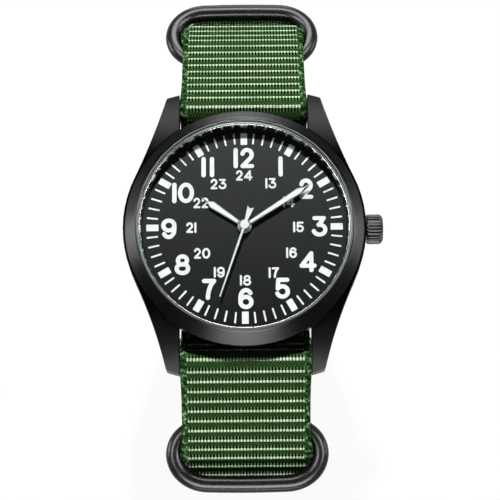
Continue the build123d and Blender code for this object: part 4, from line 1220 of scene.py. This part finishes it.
def webbing_ring(place, heading, half_width, thickness, rise, curl, mirror_it):
    """The points round one cross-section of the strap. The first number of each is its distance across."""
    normal = Track.step(heading + 90)
    half_t = thickness / 2
    high = half_t - rib_depth * (1 - rise)
    flat = half_width - half_t
    sides = []
    for k in range(width_steps + 1):
        across = -flat + 2 * flat * k / width_steps
        fade = min(1.0, (half_width - abs(across)) / selvedge)
        sides.append((across, high * fade + (half_t - rib_depth / 2) * (1 - fade)))
    ring = []
    for way in (1, -1):
        ring += [(way * across, way * height) for across, height in sides]
        for k in range(1, edge_steps + 1):
            angle = pi * k / (edge_steps + 1)
            ring.append((way * (flat + half_t * sin(angle)), way * sides[0][1] * cos(angle)))
    points = []
    for across, height in ring:
        sag = curl * max(0.0, abs(across) / half_width - curl_from_share) ** 2 / (1 - curl_from_share) ** 2
        spot = place + normal * (height - sag)
        points.append((across, -spot[0] if mirror_it else spot[0], spot[1]))
    return points


def webbing(name, node, halves, thickness):
    """One strap from its two halves, with ribs, and its weave laid out as a UV map in millimetres."""
    rings = []
    for flip, (track, pinches) in enumerate(halves):
        side = []
        for distance, rise in stations(track.length, flip):
            place, heading = track.spot(distance)
            half = pinched(distance, pinches)
            missing = strap_end_r - (track.length - distance)
            if missing > 0.0:
                half -= strap_end_r - sqrt(max(strap_end_r ** 2 - missing ** 2, 0.0))
            curl = (strap_width / 2 - half) * curl_share
            points = webbing_ring(place, heading, half, thickness, rise, curl, bool(flip))
            side.append((points, -distance if flip else distance))
        rings = list(reversed(side)) + rings if flip else rings + side
    shape = skin([ring for ring, _ in rings])
    mesh = mesh_from(name, shape, head_place())
    uv = mesh.uv_layers.new(name="weave")
    for loop in mesh.loops:
        _, along = rings[loop.vertex_index // len(rings[0][0])]
        uv.data[loop.index].uv = (shape[0][loop.vertex_index][0], along)
    finish_piece(name, mesh, "case", "nylon", [node], sharp_angle=80.0)


def make_straps():
    """Both straps, and the back bars that the rings turn about."""
    main_12, bar_12, pinches_12 = buckle_half()
    main_6, bar_6, pinches_6 = tail_half()
    under_12, eye_12 = under_half(bar_12)
    under_6, eye_6 = under_half(bar_6)
    webbing("strap_main_webbing", "strap_main", [(main_12, pinches_12), (main_6, pinches_6)], strap_t)
    webbing("strap_under_webbing", "strap_under", [(under_12, eye_12), (under_6, eye_6)], under_t)
    return bar_12, bar_6


# Rings, keepers, buckle and prong


def ring_path():
    """Places and outward directions along a ring's centreline, in its own plane."""
    half_width = ring_width / 2 - ring_shown_r
    rx, ry = ring_corner
    power = 2 / ring_squareness
    x_mid = half_width - rx
    corners = [
        (x_mid, bar_spacing - ry, 0), (-x_mid, bar_spacing - ry, 90), (-x_mid, ry, 180), (x_mid, ry, 270)
    ]
    made = []
    for (x, y, start), (next_x, next_y, next_start) in zip(corners, corners[1:] + corners[:1]):
        for step in range(ring_corner_steps + 1):
            angle = radians(start + 90 * step / ring_corner_steps)
            c, s = cos(angle), sin(angle)
            arm = Vector((rx * copysign(abs(c) ** power, c), ry * copysign(abs(s) ** power, s)))
            outward = Vector((
                copysign(abs(c) ** (2 - power) / rx, c), copysign(abs(s) ** (2 - power) / ry, s)
            ))
            made.append((Vector((x, y)) + arm, outward.normalized()))
        end, outward = made[-1]
        angle = radians(next_start)
        target = Vector((next_x + rx * cos(angle), next_y + ry * sin(angle)))
        made += [(end.lerp(target, share), outward) for share in ring_bar_shares]
    for place, _ in made:
        if place.y > bar_spacing / 2:
            place.y -= ring_bow * (place.x / half_width) ** 2
    return made


def make_ring(name, body, bar, lean, mirror_it=False, has_bed=False, shift=0.0):
    """A ring of round wire about its back bar. A bed in its front bar takes a prong."""
    rings = []
    for place, outward in ring_path():
        ring = []
        in_bed = has_bed and place.y > bar_spacing - prong_bed_reach and abs(place.x) < prong_half_width
        for angle in circle(ring_sides):
            spot = place + outward * (ring_shown_r * cos(angle))
            height = ring_shown_r * sin(angle)
            if in_bed:
                height = max(height, prong_notch_depth - ring_wire_r)
            ring.append((spot.x, spot.y, height))
        rings.append(ring)
    place = Matrix.Translation((shift, bar[0], bar[1])) @ Matrix.Rotation(radians(lean), 4, "X")
    if mirror_it:
        place = Matrix.Scale(-1, 4, (0, 1, 0)) @ place
    piece_from(f"{name}_looks", skin(rings, closed_path=True), body, "ring", [name], head_place() @ place)


def make_rings(bar_12, bar_6):
    make_ring("ring_12", "ring_12", bar_12, ring_plane, shift=ring_12_shift)
    make_ring("ring_6", "ring_6", bar_6, ring_plane, True, shift=ring_6_shift)
    for number, y in enumerate(keeper_ys, 1):
        make_ring(f"keeper_{number}", f"keeper_{number}", (y, heel_z), -buckle_lean)
    make_ring("buckle_frame", "case", (-buckle_y, heel_z), -buckle_lean, True, True)
    dressed("buckle_prong", "buckle_prong", "ring", prong_edge_round)


# Inside


def box_of(node):
    """The middle and half the size of a CAD node's box, in millimetres."""
    low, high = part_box(node)
    return (low + high) / 2 / MM, (high - low) / 2 / MM


def make_coil():
    """The coil's winding: rounded turns side by side between two flanges."""
    middle, half = box_of("coil")
    box = [(-half.y, -half.z), (half.y, -half.z), (half.y, half.z), (-half.y, half.z)]
    wound = [(y * coil_width_share, z * coil_height_share) for y, z in box]
    length = 2 * (half.x - coil_end_gap)
    steps = coil_turns * 4

    def ring(x, loop, swell=1.0):
        return [(x, middle.y + y * swell, middle.z + z * swell) for y, z in loop]

    rings = []
    for step in range(steps + 1):
        swell = 1 - coil_swell_share * (1 + cos(pi * step / 2)) / 2
        x = middle.x - length / 2 + length * step / steps
        rings.append(ring(x, rounded(wound, coil_corner), swell))
    parts = [skin(rings)]
    flange = rounded(box, coil_flange_corner)
    for side in (-1, 1):
        ends = sorted(middle.x + side * (half.x - gap) for gap in (coil_flange, 0.0))
        parts.append(skin([ring(x, flange) for x in ends]))
    piece_from("coil_winding", joined(parts), "case", "copper", ["coil"], Matrix())


def make_bar_spring(node):
    """A coiled spring in two halves for its plain tube, one half on the side of each plunger."""
    middle, extent = box_of(node)
    radius = extent.z - spring_wire_r
    reach = extent.x - spring_wire_r
    steps = spring_turns * spring_steps
    rings = []
    for step in range(steps + 1):
        angle = 2 * pi * step / spring_steps
        x = middle.x - reach + 2 * reach * step / steps
        ring = []
        for around in circle(spring_sides):
            away = radius + spring_wire_r * cos(around)
            ring.append((
                x + spring_wire_r * sin(around),
                middle.y + away * cos(angle),
                middle.z + away * sin(angle),
            ))
        rings.append(ring)
    split = len(rings) // 2
    halves = (rings[:split + 1], rings[split:])
    for hand in ("left", "right"):
        plunger = node.replace("bar_spring", "plunger") + "_" + hand
        is_far = box_of(plunger)[0].x > middle.x
        half = piece_from(f"{node}_coiled_{hand}", skin(halves[is_far]), "case", "steel", [node], Matrix())
        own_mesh(half)


inner_looks = {
    "brass": (
        "main_plate", "train_bridge", "seconds_wheel", "third_wheel", "centre_wheel", "intermediate_wheel",
        "cannon_pinion", "minute_wheel", "hour_wheel", "dial_washer",
    ),
    "steel": (
        "bridge_screws", "clamp_screw", "stator_screws", "setting_lever", "clutch_wheel", "setting_wheel",
        "stem", "spring_bar_12", "spring_bar_6", "plunger_12_left", "plunger_12_right",
        "plunger_6_left", "plunger_6_right", "rotor", "stator", "coil_core", "battery", "battery_clamp",
        "quartz_can",
    ),
    "rubber": ("crystal_gasket", "case_back_gasket", "crown_gasket"),
    "plastic": ("movement_ring",),
    "board": ("circuit_board",),
    "chip": ("circuit_chip",),
    "dial": ("dial",),
    "case": ("crown_tube",),
}


def dress_inner_nodes():
    """Gives each CAD node that still shows its own look."""
    for look, nodes in inner_looks.items():
        for node in nodes:
            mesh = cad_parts[node].data
            mesh.materials.clear()
            mesh.materials.append(looks[look])


# Floor, lights and camera


def make_stage():
    """A pale floor that keeps the object's shadow, and a plain pale surrounding."""
    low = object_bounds()[0].z - floor_gap * MM
    half = floor_half_m
    mesh = bpy.data.meshes.new("floor")
    mesh.from_pydata(
        [(-half, -half, low), (half, -half, low), (half, half, low), (-half, half, low)], [], [(0, 1, 2, 3)]
    )
    floor = on_stage("floor", mesh)
    look = Look("floor_paper", (240, 240, 240), 0.8)
    glow = look.fed("Emission", {"Strength": 1.0})
    share = look.times(look.seen_by(*plain_rays), floor_white_share)
    mesh.materials.append(look.show(look.mixed(share, look.shader.outputs[0], glow)))


def make_world():
    """A pale surrounding, dimmer straight above, that lights the object only a little."""
    world = bpy.data.worlds.new("pale")
    bpy.context.scene.world = world
    world.use_nodes = True
    world.node_tree.nodes.clear()
    sky = Nodes(world.node_tree)
    ends = dict(zip(("From Min", "From Max", "To Min", "To Max"), sky_heights + sky_lights))
    ends["Value"] = sky.place("Generated")["Z"]
    height = sky.fed("MapRange", ends, interpolation_type="SMOOTHSTEP")
    pale = sky.fed("Background", {"Color": srgb(255, 255, 255), "Strength": height})
    dim = sky.fed("Background", {"Strength": world_light})
    shown = sky.mixed(sky.seen_by(*plain_rays), dim, pale)
    sky.feed(sky.node("OutputWorld").inputs["Surface"], shown)


def make_light(name, azimuth, elevation, distance, size, glow):
    """A softbox round the watch head, clockwise from the 12 side, with its size in metres and its glow."""
    lamp = bpy.data.lights.new(name, "AREA")
    lamp.shape = "RECTANGLE"
    lamp.size, lamp.size_y = size
    lamp.energy = glow * size[0] * size[1] * pi
    light = on_stage(name, lamp)
    turn, rise = radians(azimuth), radians(elevation)
    way = Vector((sin(turn) * cos(rise), cos(turn) * cos(rise), sin(rise)))
    light.location = way * distance
    light.rotation_euler = way.to_track_quat("Z", "Y").to_euler()
    light.visible_camera = False
    is_card = name.startswith("card")
    light.visible_diffuse = not is_card
    light.visible_glossy = is_card


def make_camera():
    """The photograph's camera, aimed and rolled as the dial shows it."""
    data = bpy.data.cameras.new("camera")
    data.lens = camera_lens
    data.sensor_width = camera_sensor
    data.clip_start = camera_near_m
    data.clip_end = camera_far_m
    camera = on_stage("camera", data)
    place, aim = ((head_place() @ Vector(spot)) * MM for spot in (camera_place, camera_aim))
    turn = (aim - place).to_track_quat("-Z", "Y").to_matrix().to_4x4()
    roll = Matrix.Rotation(radians(camera_roll), 4, "Z")
    camera.matrix_world = Matrix.Translation(place) @ turn @ roll
    bpy.context.scene.camera = camera


make_camera()
make_bezel()
make_crystal()
make_rehaut()
make_crown()
dressed("case", "case", "case", case_edge_round)
dressed("case_back", "case", "case", edge_round)
make_dial_print()
make_leaf_hand("hour_hand", "hours", hour_hand)
make_leaf_hand("minute_hand", "minutes", minute_hand)
make_second_hand()
make_rings(*make_straps())
make_coil()
for node in ("bar_spring_12", "bar_spring_6"):
    make_bar_spring(node)
dress_inner_nodes()
make_stage()
make_world()
for name, settings in lights.items():
    make_light(name, *settings)
bpy.context.scene.view_settings.view_transform = "Standard"
